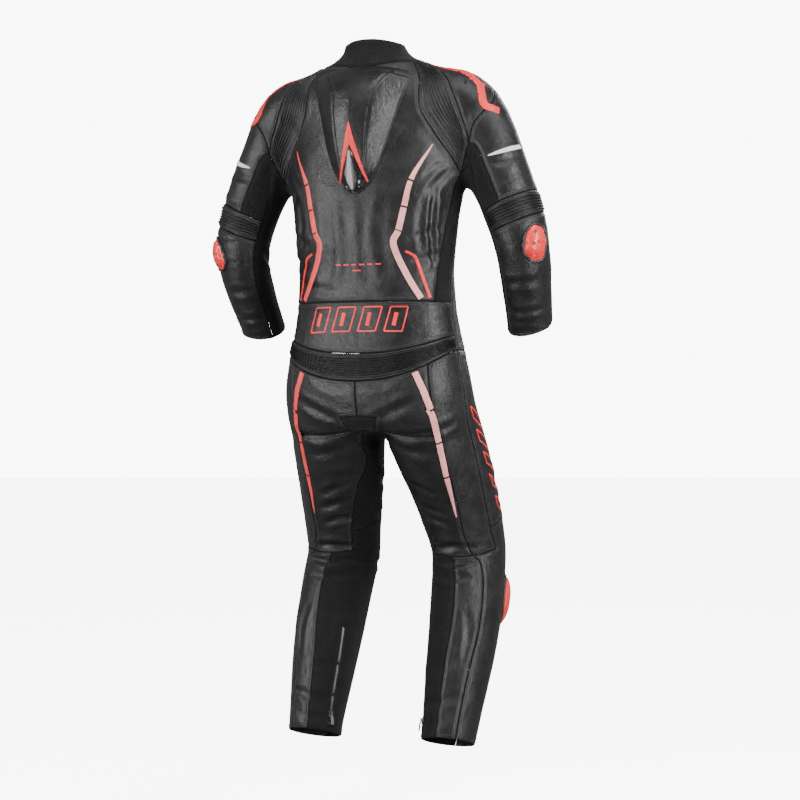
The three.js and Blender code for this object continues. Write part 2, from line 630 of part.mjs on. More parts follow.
// A closed bar along a path of places: half widths at each, from "low" to "high" off the cloth.
function barAlong(path, halves, low, high) {
  const points = [];
  path.forEach((place, i) => {
    const before = path[Math.max(0, i - 1)].p;
    const after = path[Math.min(path.length - 1, i + 1)].p;
    const aside = unit(cross(place.n, sub(after, before)));
    const half = halves[i];
    points.push(add(add(place.p, aside, half), place.n, high));
    points.push(add(add(place.p, aside, -half), place.n, high));
    points.push(add(add(place.p, aside, -half), place.n, low));
    points.push(add(add(place.p, aside, half), place.n, low));
  });
  const triangles = [[0, 1, 2], [0, 2, 3]];
  for (let i = 0; i < path.length - 1; i += 1) {
    const a = 4 * i;
    for (let k = 0; k < 4; k += 1) {
      const l = (k + 1) % 4;
      triangles.push([a + k, a + 4 + k, a + 4 + l]);
      triangles.push([a + k, a + 4 + l, a + l]);
    }
  }
  const e = 4 * (path.length - 1);
  triangles.push([e + 2, e + 1, e]);
  triangles.push([e + 3, e + 2, e]);
  const bar = solidOf(points, triangles);
  return bar.volume() < 0 ? solidOf(points, triangles.map((t) => [t[2], t[1], t[0]])) : bar;
}

// Smooth path of places through a few control points.
function pathThrough(controls, steps) {
  const lists = [0, 1, 2].map((axis) => controls.map((c) => c[axis]));
  const out = [];
  for (let i = 0; i <= steps; i += 1) {
    const at = (i / steps) * (controls.length - 1);
    out.push(land(lists.map((list) => readList(list, at))));
  }
  return out;
}

const group = new THREE.Group();
group.name = 'race_suit';

// Finishes: colour, roughness, metalness.
const FINISH = {
  leather: [0x26262a, 0.5, 0],
  stretch: [0x17181b, 0.85, 0],
  coral: [0xf0605c, 0.55, 0],
  plastic: [0xf2605c, 0.35, 0],
  gloss: [0x0c0c0f, 0.12, 0],
  metal: [0x9a9ca0, 0.35, 1],
  zip: [0x101013, 0.7, 0],
};

function addSolid(name, solid, finish) {
  const mesh = solid.getMesh();
  const geometry = new THREE.BufferGeometry();
  const count = mesh.vertProperties.length / mesh.numProp;
  const flat = new Float32Array(count * 3);
  for (let i = 0; i < count; i += 1) {
    for (let k = 0; k < 3; k += 1) flat[3 * i + k] = mesh.vertProperties[i * mesh.numProp + k];
  }
  geometry.setAttribute('position', new THREE.BufferAttribute(flat, 3));
  geometry.setIndex(new THREE.BufferAttribute(new Uint32Array(mesh.triVerts), 1));
  geometry.computeVertexNormals();
  const [color, roughness, metalness] = FINISH[finish];
  const made = new THREE.Mesh(geometry, new THREE.MeshStandardMaterial({ color, roughness, metalness }));
  made.name = name;
  group.add(made);
}

function addPair(name, solid, finish) {
  addSolid(`${name}_left`, solid, finish);
  addSolid(`${name}_right`, solid.mirror([1, 0, 0]), finish);
}

const STRETCH = new Set([
  'collar', 'side_panel', 'upperarm_rib', 'sleeve_inner', 'thigh_inner', 'calf_back', 'crotch_gusset',
]);
for (const [name, cells] of panels) {
  let finish = STRETCH.has(name) ? 'stretch' : 'leather';
  if (name === 'front_zip') finish = 'zip';
  if (whole.has(name)) {
    addSolid(name, wallOver([...cells, ...mirrorCells(cells)], 0, -WALL, SEAM_INSET), finish);
  } else {
    addPair(name, wallOver(cells, 0, -WALL, SEAM_INSET), finish);
  }
}

// What lies on the cloth is cut from a layer moved out from the panels' own faces.
const both = (...names) => names.flatMap((name) => panels.get(name));
function layerOn(names, thick) {
  return wallOver(both(...names), LIE_GAP + thick, LIE_GAP, 0);
}
const DEEP = 40;
function bodyBelow(names, withMirror = false) {
  const cells = both(...names);
  const all = withMirror ? [...cells, ...mirrorCells(cells)] : cells;
  return wallOver(all, LIE_GAP, -DEEP, 0);
}

const taper = (steps, full, start, end) =>
  Array.from({ length: steps + 1 }, (_, i) => {
    const t = i / steps;
    return full * Math.min(1, mix(start, 1, Math.min(1, t * 4)), mix(end, 1, Math.min(1, (1 - t) * 3)));
  });

// Back stripe: from the shoulder blade, in past the waist and out again to the waist seam.
const BACK_STRIPE = [[136, 60, -150], [107, 86, -212], [97, 95, -264], [88, 102, -313], [79, 106, -342], [96, 86, -400], [118, 66, -455]];
const STRIPE_HALF = 6;
const STRIPE_STEPS = 9;
const stripePath = pathThrough(BACK_STRIPE, STRIPE_STEPS);
addPair('back_stripe', layerOn(['back_panel'], STRIPE_WALL).intersect(barAlong(stripePath, taper(STRIPE_STEPS, STRIPE_HALF, 0.3, 0.9), -8, 8)), 'coral');

// Thigh stripe: down the back of the thigh beside the seat seam, to a point above the knee.
const THIGH_STRIPE = [[118, 92, -606], [140, 72, -672], [152, 46, -745], [157, 14, -819], [160, -32, -900]];
const thighPath = pathThrough(THIGH_STRIPE, STRIPE_STEPS);
addPair('thigh_stripe', layerOn(['seat_panel', 'thigh_outer', 'thigh_back'], STRIPE_WALL).intersect(barAlong(thighPath, taper(STRIPE_STEPS, STRIPE_HALF, 0.9, 0.15), -8, 8)), 'coral');

// Shoulder stripe: along the top of the shoulder and over its point.
const SHOULDER_STRIPE = [[124, 16, 14], [158, 16, 8], [188, 16, -2], [210, 16, -18], [224, 15, -42], [228, 16, -64], [236, 18, -84]];
const shoulderPath = pathThrough(SHOULDER_STRIPE, STRIPE_STEPS);
addPair('shoulder_stripe', layerOn(['shoulder_panel'], STRIPE_WALL).intersect(barAlong(shoulderPath, taper(STRIPE_STEPS, 7.5, 0.8, 0.9), -8, 8)), 'coral');

// ---------------------------------------------------------------- hump
// Moulded aero hump on the upper back: rows down it, half width, height of ridge and of shoulder.
const HUMP = [
  { z: 6, edge: 92, shelf: 86, crest: 80, rim: 1, high: 6, mid: 7 },
  { z: -18, edge: 96, shelf: 82, crest: 60, rim: 2, high: 20, mid: 24 },
  { z: -52, edge: 90, shelf: 72, crest: 44, rim: 2, high: 32, mid: 38 },
  { z: -92, edge: 78, shelf: 62, crest: 36, rim: 2, high: 36, mid: 43 },
  { z: -136, edge: 62, shelf: 50, crest: 30, rim: 2, high: 31, mid: 37 },
  { z: -180, edge: 46, shelf: 38, crest: 24, rim: 2, high: 19, mid: 23 },
  { z: -214, edge: 30, shelf: 24, crest: 14, rim: 2, high: 8, mid: 10 },
  { z: -236, edge: 8, shelf: 6, crest: 3, rim: 1, high: 2, mid: 3 },
];
const humpRows = HUMP.map((row) => {
  const spots = [
    [-row.edge, row.rim], [-row.shelf, row.high * 0.45], [-row.crest, row.high], [0, row.mid],
    [row.crest, row.high], [row.shelf, row.high * 0.45], [row.edge, row.rim],
  ];
  return spots.map(([x, lift]) => {
    const place = land([x, 90, row.z], x === 0);
    return { top: add(place.p, place.n, lift + LIE_GAP), foot: add(place.p, place.n, -6) };
  });
});
function humpSolid() {
  const across = humpRows[0].length;
  const points = humpRows.flatMap((row) => [...row.map((s) => s.top), ...row.map((s) => s.foot)]);
  const at = (row, col, layer) => row * across * 2 + layer * across + col;
  const triangles = [];
  for (let row = 0; row < humpRows.length - 1; row += 1) {
    for (let col = 0; col < across - 1; col += 1) {
      const flip = col < (across - 1) / 2;
      const t = [at(row, col, 0), at(row, col + 1, 0), at(row + 1, col + 1, 0), at(row + 1, col, 0)];
      const u = [at(row, col, 1), at(row, col + 1, 1), at(row + 1, col + 1, 1), at(row + 1, col, 1)];
      const [a, b, c, d] = flip ? [t[1], t[2], t[3], t[0]] : t;
      triangles.push([a, b, c], [a, c, d]);
      triangles.push([u[2], u[1], u[0]], [u[3], u[2], u[0]]);
    }
    for (const [col, turn] of [[0, 0], [across - 1, 1]]) {
      const q = [at(row, col, 0), at(row + 1, col, 0), at(row + 1, col, 1), at(row, col, 1)];
      if (turn) q.reverse();
      triangles.push([q[0], q[1], q[2]], [q[0], q[2], q[3]]);
    }
  }
  for (const [row, turn] of [[0, 0], [humpRows.length - 1, 1]]) {
    for (let col = 0; col < across - 1; col += 1) {
      const q = [at(row, col, 0), at(row, col, 1), at(row, col + 1, 1), at(row, col + 1, 0)];
      if (turn) q.reverse();
      triangles.push([q[0], q[1], q[2]], [q[0], q[2], q[3]]);
    }
  }
  const made = solidOf(points, triangles);
  return made.volume() < 0 ? solidOf(points, triangles.map((t) => [t[2], t[1], t[0]])) : made;
}
const underHump = bodyBelow(['back_panel', 'collar', 'shoulder_accordion'], true);
const humpRaw = humpSolid();
const hump = humpRaw.subtract(underHump);
const largest = (solid) => solid.decompose().sort((a, b) => b.volume() - a.volume())[0];
addSolid('hump', largest(hump), 'leather');

// Inverted V and drop-shaped insert, cut from a layer over the hump's own skin.
function prismBehind(outline) {
  const section = new wasm.CrossSection([outline]);
  return section.extrude(200).rotate([90, 0, 0]).translate([0, 260, 0]);
}
const humpLayer = humpRaw.translate([0, LIE_GAP + 1.2, 0]).subtract(humpRaw.translate([0, LIE_GAP, 0])).subtract(underHump);
const V_OUTER = [[0, -92], [-14, -128], [-30, -212], [-21, -214], [-8, -150], [0, -140], [8, -150], [21, -214], [30, -212], [14, -128]];
const INSERT = [[0, -156], [-7, -172], [-11, -200], [-6, -222], [0, -230], [6, -222], [11, -200], [7, -172]];
const ccw = (outline) => {
  let area = 0;
  outline.forEach(([x, y], i) => {
    const [u, v] = outline[(i + 1) % outline.length];
    area += x * v - u * y;
  });
  return area > 0 ? outline : outline.slice().reverse();
};
addSolid('hump_v', largest(humpLayer.intersect(prismBehind(ccw(V_OUTER)))), 'coral');
addSolid('hump_insert', largest(humpLayer.intersect(prismBehind(ccw(INSERT)))), 'gloss');

// ---------------------------------------------------------------- hard cups and pucks
// A domed cup seated on the cloth at a place, cut to the cloth's own faces.
function cupOn(centreGuess, towards, sizes, names) {
  const seat = land(centreGuess);
  const across = unit(cross(towards, seat.n));
  const along = cross(seat.n, across);
  const ball = wasm.Manifold.sphere(1, 16).scale([sizes.across, sizes.along, sizes.high]);
  const slab = wasm.Manifold.cube([400, 400, 200], true).translate([0, 0, 100 - sizes.high * 0.35]);
  const dome = ball.intersect(slab);
  const m = [...across, 0, ...along, 0, ...seat.n, 0, ...seat.p, 1];
  return largest(dome.transform(m).subtract(bodyBelow(names)));
}
const elbowCup = cupOn([342, 28, -354], [0.1, -0.2, 1], { across: 28, along: 36, high: 16 }, ['forearm', 'elbow_accordion', 'sleeve_inner']);
addPair('elbow_cup', elbowCup, 'plastic');
const kneeSlider = cupOn([196, -178, -1082], [0, 0.3, 1], { across: 42, along: 60, high: 20 }, ['shin_panel', 'calf_strip', 'thigh_outer']);
addPair('knee_slider', kneeSlider, 'plastic');

// ---------------------------------------------------------------- zips
const ANKLE_ZIP = [[98, -50, -1132], [97, -33, -1180], [97, -14, -1230], [98, 2, -1280], [100, 12, -1325]];
const anklePath = pathThrough(ANKLE_ZIP, 7);
const ankleTape = layerOn(['calf_back'], STRIPE_WALL).intersect(barAlong(anklePath, taper(7, 8, 1, 1), -8, 8));

// A slider with a bridge over it, and a pull tab whose eye rides on the bridge's pin.
const PIN = { radius: 0.9, rise: 5.2, span: 5 };
const SLIDER_FOOT = 4; // reaches down to the cloth's faces, where it is cut off
function sliderParts(place, downward, floor) {
  const along = unit(sub(downward, place.n.map((v) => v * dot(downward, place.n))));
  const across = cross(along, place.n);
  const base = add(place.p, place.n, floor);
  const m = [...across, 0, ...along, 0, ...place.n.map((v) => -v), 0, ...base, 1];
  const up = (z) => -z;
  const box = (w, l, h, y, z) => wasm.Manifold.cube([w, l, h], true).translate([0, y, up(z + h / 2)]);
  const body = box(9, 12, 2.6 + SLIDER_FOOT, 0, -SLIDER_FOOT);
  const post = wasm.Manifold.cube([1.4, 3.4, 4.6], true);
  const posts = post.translate([PIN.span / 2, -2, up(4.6)]).add(post.translate([-PIN.span / 2, -2, up(4.6)]));
  const pin = wasm.Manifold.cylinder(PIN.span, PIN.radius, PIN.radius, 12, true).rotate([0, 90, 0]).translate([0, -2, up(PIN.rise)]);
  const slider = body.add(posts).add(pin);
  const tab = wasm.Manifold.cube([3.0, 24, 1.6], true).translate([0, 9, up(PIN.rise)]);
  const eye = wasm.Manifold.cylinder(3.0, 2.1, 2.1, 16, true).rotate([0, 90, 0]).translate([0, -2, up(PIN.rise)]);
  const hole = wasm.Manifold.cylinder(8, PIN.radius + 0.35, PIN.radius + 0.35, 12, true).rotate([0, 90, 0]).translate([0, -2, up(PIN.rise)]);
  const grip = wasm.Manifold.cube([7, 16, 1.6], true).translate([0, 14, up(PIN.rise)]);
  const pull = tab.add(eye).add(grip).subtract(hole);
  return { slider: slider.transform(m), pull: pull.transform(m) };
}
const SLIDER_SEAT = LIE_GAP + 0.1;
const frontSeat = land([0, -95, -44], true);
const front = sliderParts(frontSeat, [0, 0, -1], SLIDER_SEAT);
addSolid('zip_slider', front.slider.subtract(wallOver([...both('front_zip'), ...mirrorCells(both('front_zip'))], LIE_GAP, -8, 0)), 'metal');
addSolid('zip_pull', front.pull, 'metal');
const ankleSeat = anklePath[6];
const ankle = sliderParts(ankleSeat, [0, 0, -1], LIE_GAP + STRIPE_WALL - 0.6);
const ankleCloth = wallOver(both('calf_back'), LIE_GAP, -9, 0);
addPair('ankle_zip', largest(ankleTape.add(ankle.slider.subtract(ankleCloth))), 'zip');
addPair('ankle_pull', ankle.pull, 'metal');

export default group;
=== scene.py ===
import math

import bpy
import numpy as np
from mathutils import Matrix, Vector
from mathutils.bvhtree import BVHTree
from mathutils.kdtree import KDTree


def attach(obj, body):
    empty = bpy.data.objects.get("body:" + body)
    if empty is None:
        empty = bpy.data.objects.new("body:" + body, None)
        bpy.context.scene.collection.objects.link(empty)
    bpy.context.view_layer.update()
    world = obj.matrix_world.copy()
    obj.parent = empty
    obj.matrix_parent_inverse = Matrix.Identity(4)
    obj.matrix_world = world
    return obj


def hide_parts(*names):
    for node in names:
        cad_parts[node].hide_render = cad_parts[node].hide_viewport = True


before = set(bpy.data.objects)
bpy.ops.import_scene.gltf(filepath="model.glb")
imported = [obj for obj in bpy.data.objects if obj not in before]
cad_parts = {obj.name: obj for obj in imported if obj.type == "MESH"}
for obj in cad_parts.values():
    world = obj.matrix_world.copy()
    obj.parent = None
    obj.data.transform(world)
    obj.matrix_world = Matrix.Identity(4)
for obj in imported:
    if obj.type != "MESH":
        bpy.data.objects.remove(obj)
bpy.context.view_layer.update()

MM = 0.001
FINE = 10  # samples along each side of a panel cell

# ------------------------------------------------------------------ body form, in millimetres
# Trunk sections: height, half width, front depth, back depth, squareness.
TRUNK = np.array([
    (90, 60, -38, 60, 2.0), (48, 64, -44, 62, 2.0), (30, 78, -54, 66, 2.05), (12, 104, -66, 72, 2.1),
    (-15, 126, -80, 82, 2.2), (-60, 150, -98, 97, 2.3), (-130, 168, -116, 109, 2.4),
    (-200, 177, -121, 115, 2.4), (-270, 173, -114, 118, 2.4), (-340, 165, -106, 117, 2.4),
    (-400, 160, -102, 108, 2.4), (-480, 166, -105, 105, 2.4), (-560, 180, -116, 110, 2.4),
    (-640, 192, -122, 116, 2.3), (-700, 188, -116, 102, 2.2), (-780, 180, -104, 86, 2.2),
])
TRUNK_FLOOR = -722
# Limb axes: x, y, z, half width across, half depth front to back.
ARM = np.array([
    (60, 4, -56, 46, 50), (120, 4, -52, 52, 56), (178, 0, -58, 56, 59), (213, -2, -92, 59, 60),
    (240, -2, -152, 60, 60), (270, 0, -230, 60, 60), (298, 0, -310, 57, 58), (308, -12, -370, 53, 54),
    (305, -46, -440, 49, 50), (298, -84, -505, 45, 46), (292, -119, -570, 42, 44),
], float)
LEG = np.array([
    (86, 2, -600, 86, 98), (94, -16, -655, 94, 102), (107, -50, -727, 95, 102), (120, -90, -802, 90, 96),
    (130, -121, -868, 84, 90), (139, -150, -940, 78, 84), (142, -156, -985, 76, 81),
    (147, -134, -1050, 75, 79), (150, -100, -1140, 72, 75), (149, -62, -1230, 65, 67),
    (148, -30, -1310, 57, 59), (146, -14, -1356, 54, 55), (144, 4, -1410, 53, 54),
], float)
AXIS_STEPS = 36
ARM_BLEND, LEG_BLEND, FLOOR_BLEND = 64, 26, 40


def dot(a, b):
    return np.einsum("...i,...i->...", a, b)


def unit(v):
    v = np.asarray(v, float)
    return v / np.maximum(np.linalg.norm(v, axis=-1, keepdims=True), 1e-9)


def read_rows(rows, place):
    """Rows of a table read smoothly at fractional places."""
    rows = np.asarray(rows, float)
    place = np.asarray(place, float)
    last = len(rows) - 1
    i = np.clip(np.floor(place).astype(int), 0, last - 1)
    t = np.clip(place - i, 0, 1).reshape(place.shape + (1,) * (rows.ndim - 1))
    a, b, c, d = rows[np.maximum(i - 1, 0)], rows[i], rows[i + 1], rows[np.minimum(i + 2, last)]
    t2, t3 = t * t, t * t * t
    return ((2 * t3 - 3 * t2 + 1) * b + (t3 - 2 * t2 + t) * (c - a) / 2
            + (3 * t2 - 2 * t3) * c + (t3 - t2) * (d - b) / 2)


def trunk_section(z):
    place = np.interp(-np.asarray(z, float), -TRUNK[:, 0], np.arange(len(TRUNK)))
    half, front, back, power = np.moveaxis(read_rows(TRUNK[:, 1:], place), -1, 0)
    return half, (front + back) / 2, (back - front) / 2, power


def chain_of(rows):
    return read_rows(rows, np.linspace(0, len(rows) - 1, AXIS_STEPS + 1))


ARM_CHAIN, LEG_CHAIN = chain_of(ARM), chain_of(LEG)


class Limb:
    """Distance-like field about a limb's chain of segments."""

    def __init__(self, chain):
        self.a, self.way = chain[:-1, :3], np.diff(chain[:, :3], axis=0)
        self.size, self.dsize = chain[:-1, 3:], np.diff(chain[:, 3:], axis=0)
        self.long = dot(self.way, self.way)
        self.along = unit(self.way)
        self.backward = unit(np.array([0, 1, 0]) - self.along * self.along[:, 1:2])
        self.outward = np.cross(self.along, self.backward)

    def field(self, p):
        run = (p @ self.way.T - dot(self.a, self.way)) / self.long
        t = np.clip(run, 0, 1)
        away = dot(p, p)[:, None] - 2 * p @ self.a.T + dot(self.a, self.a)
        away = away - (2 * run - t) * t * self.long
        k = np.argmin(away, 1)
        t = t[np.arange(len(p)), k]
        q = p - self.a[k] - t[:, None] * self.way[k]
        across, deep = (self.size[k] + self.dsize[k] * t[:, None]).T
        ratio = np.sqrt((dot(q, self.outward[k]) / across) ** 2 + (dot(q, self.backward[k]) / deep) ** 2
                        + (dot(q, self.along[k]) / across) ** 2)
        return np.sqrt(dot(q, q)) * (1 - 1 / np.maximum(ratio, 1e-6))


ARM_LIMB, LEG_LIMB = Limb(ARM_CHAIN), Limb(LEG_CHAIN)


def trunk_field(p):
    half, middle, deep, power = trunk_section(p[:, 2])
    dx, dy = np.abs(p[:, 0]), np.abs(p[:, 1] - middle)
    ratio = ((dx / half) ** power + (dy / deep) ** power) ** (1 / power)
    return np.hypot(dx, dy) * (1 - 1 / np.maximum(ratio, 1e-6))


def soft_min(a, b, k):
    h = np.maximum(k - np.abs(a - b), 0) / k
    return np.minimum(a, b) - h * h * k / 4


def form(p):
    """Zero on the cloth's outer face, negative inside."""
    side = p * [1, 1, 1]
    side[:, 0] = np.abs(side[:, 0])
    d = -soft_min(-trunk_field(p), -(TRUNK_FLOOR - p[:, 2]), FLOOR_BLEND)
    up, low = p[:, 2] > -640, p[:, 2] < -480
    if up.any():
        d[up] = soft_min(d[up], ARM_LIMB.field(side[up]), ARM_BLEND)
    if low.any():
        other = side[low] * [-1, 1, 1]
        legs = LEG_LIMB.field(side[low])
        near = side[low][:, 0] < 90
        legs[near] = soft_min(legs[near], LEG_LIMB.field(other[near]), LEG_BLEND)
        d[low] = soft_min(d[low], legs, LEG_BLEND)
    return d


def slope(p, at=None):
    """Gradient of the form by forward steps."""
    at = form(p) if at is None else at
    step = 0.05
    return np.stack([(form(p + np.eye(3)[k] * step) - at) / step for k in range(3)], 1), at


def land(p, rounds=12):
    """Points moved onto the cloth's face, and their outward directions."""
    shape = np.shape(p)
    p = np.array(p, float).reshape(-1, 3)
    for _ in range(rounds):
        g, d = slope(p)
        p -= g * (np.clip(d, -25, 25) / np.maximum(dot(g, g), 0.05))[:, None]
    return p.reshape(shape), unit(slope(p)[0]).reshape(shape)


# ------------------------------------------------------------------ seam grid of the left half
SLEEVE_LINES = np.array([
    [[95, 40, 10], [116, 60, -26], [121, 76, -58], [128, 82, -90],
     [157, 76, -135], [182, 60, -180], [193, 36, -214]],
    [[104, 30, 11], [140, 34, 2], [166, 42, -28], [187, 44, -63],
     [203, 45, -98], [214, 46, -128], [219, 46, -155]],
    [[106, 10, 13], [130, 6, 13], [155, 3, 12], [180, 0, 9],
     [205, -2, 1], [226, -4, -18], [244, -4, -48]],
    [[104, -24, 5], [125, -41, -8], [150, -52, -25], [172, -58, -48],
     [192, -62, -75], [207, -64, -103], [216, -62, -133]],
    [[92, -50, -6], [108, -72, -36], [122, -88, -68], [140, -94, -102],
     [160, -88, -140], [178, -72, -180], [190, -40, -214]],
], float)  # back, rear, top, fore, front raglan lines from neck to armpit
# Sleeve rings: inner x, inner z, outer x, outer z, middle y, tilt.
SLEEVE_RINGS = [
    (200, -234, 268, -94, -3, 0), (209, -252, 290, -146, -3, 0), (220, -272, 309, -200, -2, 0),
    (232, -297, 328, -252, -1, 0), (244, -332, 346, -292, -3, -6), (254, -361, 358, -328, -8, -12),
    (258, -390, 361, -364, -19, -18), (259, -418, 358, -400, -31, -22), (258, -450, 352, -436, -49, -26),
    (256, -483, 346, -472, -69, -28), (254, -516, 340, -508, -88, -28),
]
SLEEVE_ANCHORS = [0, 3, 6, 9, 12, 13, 14]
ARMPIT_ANGLES = [122, 90, 16, -58, -150, -194, -238]
SLEEVE_ANGLES = [140, 88, 16, -60, -132, -176, -220]
BACK_HEIGHTS = [0, -30, -66, -102, -140, -180, -222]
FRONT_HEIGHTS = [-30, -58, -88, -120, -154, -188, -224]
RAGLAN_ROWS, WAIST_ROW, CROTCH_ROW = 6, 11, 8
SLEEVE_COLS, BACK_COL, SIDE_COL, ZIP_COL, CENTRE_COL = 12, 5, 7, 13, 14
ZIP_HALF = 11
# Hip rows: height at centre back, side, centre front, share of the leg.
HIP_ROWS = [
    (-465, -465, -465, 0), (-515, -499, -498, 0), (-568, -532, -530, 0), (-596, -546, -546, 0),
    (-622, -560, -563, 0), (-648, -598, -600, 0.1), (-674, -640, -640, 0.35), (-698, -684, -680, 0.7),
    (-716, -727, -712, 1),
]
HIP_COLS = [0, 2, 4, 7, 10, 14]
WAIST_ANGLES, CROTCH_ANGLES = [90, 62, 42, 4, -38, -90], [90, 66, 46, 12, -36, -90]
CROTCH_BACK, CROTCH_FRONT, CROTCH_UNDER = np.array([
    (0, 74, -716), (0, -86, -712), (0, -6, -730)], float)
# Leg rings: height on the axis, share of the axis tilt, seam angles at the anchor columns.
LEG_RINGS = [
    (-768, 0.3, [148, 106, 64, 22, -40, -146, -180]), (-812, 0.6, [137, 101, 65, 24, -38, -134, -179]),
    (-858, 0.9, [130, 97, 66, 25, -37, -124, -178]), (-906, 1, [126, 95, 68, 26, -36, -117, -178]),
    (-956, 1, [128, 96, 62, 22, -36, -116, -178]), (-1000, 0.6, [128, 95, 52, 14, -36, -114, -178]),
    (-1045, 1, [128, 92, 46, 8, -38, -112, -176]), (-1092, 1, [128, 90, 44, 4, -40, -110, -175]),
    (-1142, 1, [128, 91, 45, 4, -40, -110, -175]), (-1194, 1, [130, 94, 48, 5, -40, -110, -174]),
    (-1246, 1, [131, 96, 51, 6, -40, -110, -174]), (-1300, 1, [132, 97, 53, 7, -40, -110, -174]),
    (-1348, 1, [132, 97, 54, 8, -40, -110, -174]),
]
LEG_ANCHORS, LEG_COLS = [0, 2, 4, 7, 10, 14, 15, 16], 16
COLLAR_ROWS = 2
COLLAR_HALF, COLLAR_DEEP, COLLAR_MIDDLE, COLLAR_BACK, COLLAR_SIDE, COLLAR_FRONT = 61, 50, 10, 63, 56, 24


def line_between(a, b, count):
    return a + (b - a) * np.linspace(0, 1, count + 1)[:, None]


def trunk_guess(angle, z):
    half, middle, deep, power = trunk_section(np.array([z]))
    c, v, e = math.cos(math.radians(angle)), math.sin(math.radians(angle)), 2 / power[0]
    return np.array([half[0] * abs(c) ** e, middle[0] + deep[0] * math.copysign(abs(v) ** e, v), z])


def leg_guess(z, tilt, angle):
    i = int(np.clip(np.searchsorted(-LEG_CHAIN[:, 2], -z) - 1, 0, AXIS_STEPS - 1))
    a, b = LEG_CHAIN[i], LEG_CHAIN[i + 1]
    t = (z - a[2]) / (b[2] - a[2])
    way = unit(b[:3] - a[:3])
    lean = math.atan2(way[1], -way[2]) * tilt
    c, v = math.cos(math.radians(angle)) * a[3], math.sin(math.radians(angle)) * a[4]
    return a[:3] + (b[:3] - a[:3]) * t + [c, math.cos(lean) * v, math.sin(lean) * v]


def sleeve_grids():
    top = np.zeros((RAGLAN_ROWS + 1, SLEEVE_COLS + 1, 3))
    for col in range(SLEEVE_COLS + 1):
        at = min(col // 3, 3)
        top[:, col] = SLEEVE_LINES[at] + (SLEEVE_LINES[at + 1] - SLEEVE_LINES[at]) * (col / 3 - at)
    top = land(top)[0]
    under = land((top[-1, :1] + top[-1, -1:]) / 2)[0]
    rings = [np.vstack([top[-1], under])]
    for index, (ix, iz, ox, oz, y, tilt) in enumerate(SLEEVE_RINGS):
        cols = np.arange(14)
        near = np.interp(cols, SLEEVE_ANCHORS, ARMPIT_ANGLES)
        far = np.interp(cols, SLEEVE_ANCHORS, SLEEVE_ANGLES)
        angle = np.radians(near + (far - near) * min(index / 2, 1))[:, None]
        outward = np.array([(ox - ix) / 2, 0, (oz - iz) / 2])
        depth = min(60, np.linalg.norm(outward))
        backward = depth * np.array([0, math.cos(math.radians(tilt)), math.sin(math.radians(tilt))])
        middle = np.array([(ix + ox) / 2, y, (iz + oz) / 2])
        rings.append(middle + outward * np.cos(angle) + backward * np.sin(angle))
    rings = np.array(rings)
    rings[1:] = land(rings[1:])[0]
    return top, rings


def hip_grid():
    rows = []
    for index, (back, side, front, leg) in enumerate(HIP_ROWS):
        line = []
        for col in range(CENTRE_COL + 1):
            angle = np.interp(col, HIP_COLS, WAIST_ANGLES) * (1 - index / CROTCH_ROW)
            angle += np.interp(col, HIP_COLS, CROTCH_ANGLES) * index / CROTCH_ROW
            end = back if angle > 0 else front
            z = side + (end - side) * math.sin(math.radians(abs(angle))) ** 2
            round_it = leg_guess(-727, 0, np.interp(col, [0, 4, 7, 10, 14], [150, 62, 20, -38, -150]))
            inward = 1 - col / 3 if col < 3 else max(0, (col - 11) / 3)
            pole = CROTCH_BACK if col < 7 else CROTCH_FRONT
            guess = trunk_guess(angle, z) * (1 - leg) + (round_it + (pole - round_it) * inward) * leg
            if col == ZIP_COL and index < 7:
                guess[0] = ZIP_HALF
            if col in (0, CENTRE_COL):
                guess[0] = 0
            line.append(guess)
        rows.append(line)
    return land(np.array(rows))[0]


def leg_grid(crotch):
    rows = []
    for z, tilt, angles in LEG_RINGS:
        full = angles + [angles[0] - 360]
        rows.append([leg_guess(z, tilt, np.interp(col, LEG_ANCHORS, full)) for col in range(LEG_COLS)])
    first = np.vstack([crotch, land(CROTCH_UNDER[None])[0]])
    return np.concatenate([first[None], land(np.array(rows))[0]])


def trunk_grids(sleeve, rings, hip):
    back, front = [], []
    for row in range(RAGLAN_ROWS + 1):
        rear = land(trunk_guess(90, BACK_HEIGHTS[row])[None])[0][0]
        fore = land(trunk_guess(-90, FRONT_HEIGHTS[row])[None])[0][0]
        back.append(line_between(rear, sleeve[row, 0], BACK_COL))
        zip_edge = np.array([ZIP_HALF, fore[1], fore[2]])
        front.append(np.vstack([line_between(sleeve[row, -1], zip_edge, ZIP_COL - SIDE_COL), fore]))
    back, front = land(np.array(back))[0], land(np.array(front))[0]
    top = np.vstack([back[-1], rings[0, 13:14], front[-1]])
    share = np.linspace(0, 1, WAIST_ROW - RAGLAN_ROWS + 1)[:, None, None]
    low = top + (hip[0] - top) * share
    low[1:-1] = land(low[1:-1])[0]
    return back, front, low


def collar_grid(back, sleeve, front):
    neck = np.vstack([back[0], sleeve[0, 1:], front[0, 1:]])
    across = neck[:, 0] / COLLAR_HALF
    deep = (neck[:, 1] - COLLAR_MIDDLE) / COLLAR_DEEP
    size = np.hypot(across, deep)
    lift = np.where(deep > 0, COLLAR_BACK, COLLAR_FRONT)
    top = np.stack([COLLAR_HALF * across / size, COLLAR_MIDDLE + COLLAR_DEEP * deep / size,
                    COLLAR_SIDE + (lift - COLLAR_SIDE) * (deep / size) ** 2], 1)
    top[-2, 0] = ZIP_HALF
    share = np.linspace(1, 0, COLLAR_ROWS + 1)[:, None, None]
    return land(neck + (top - neck) * share)[0]


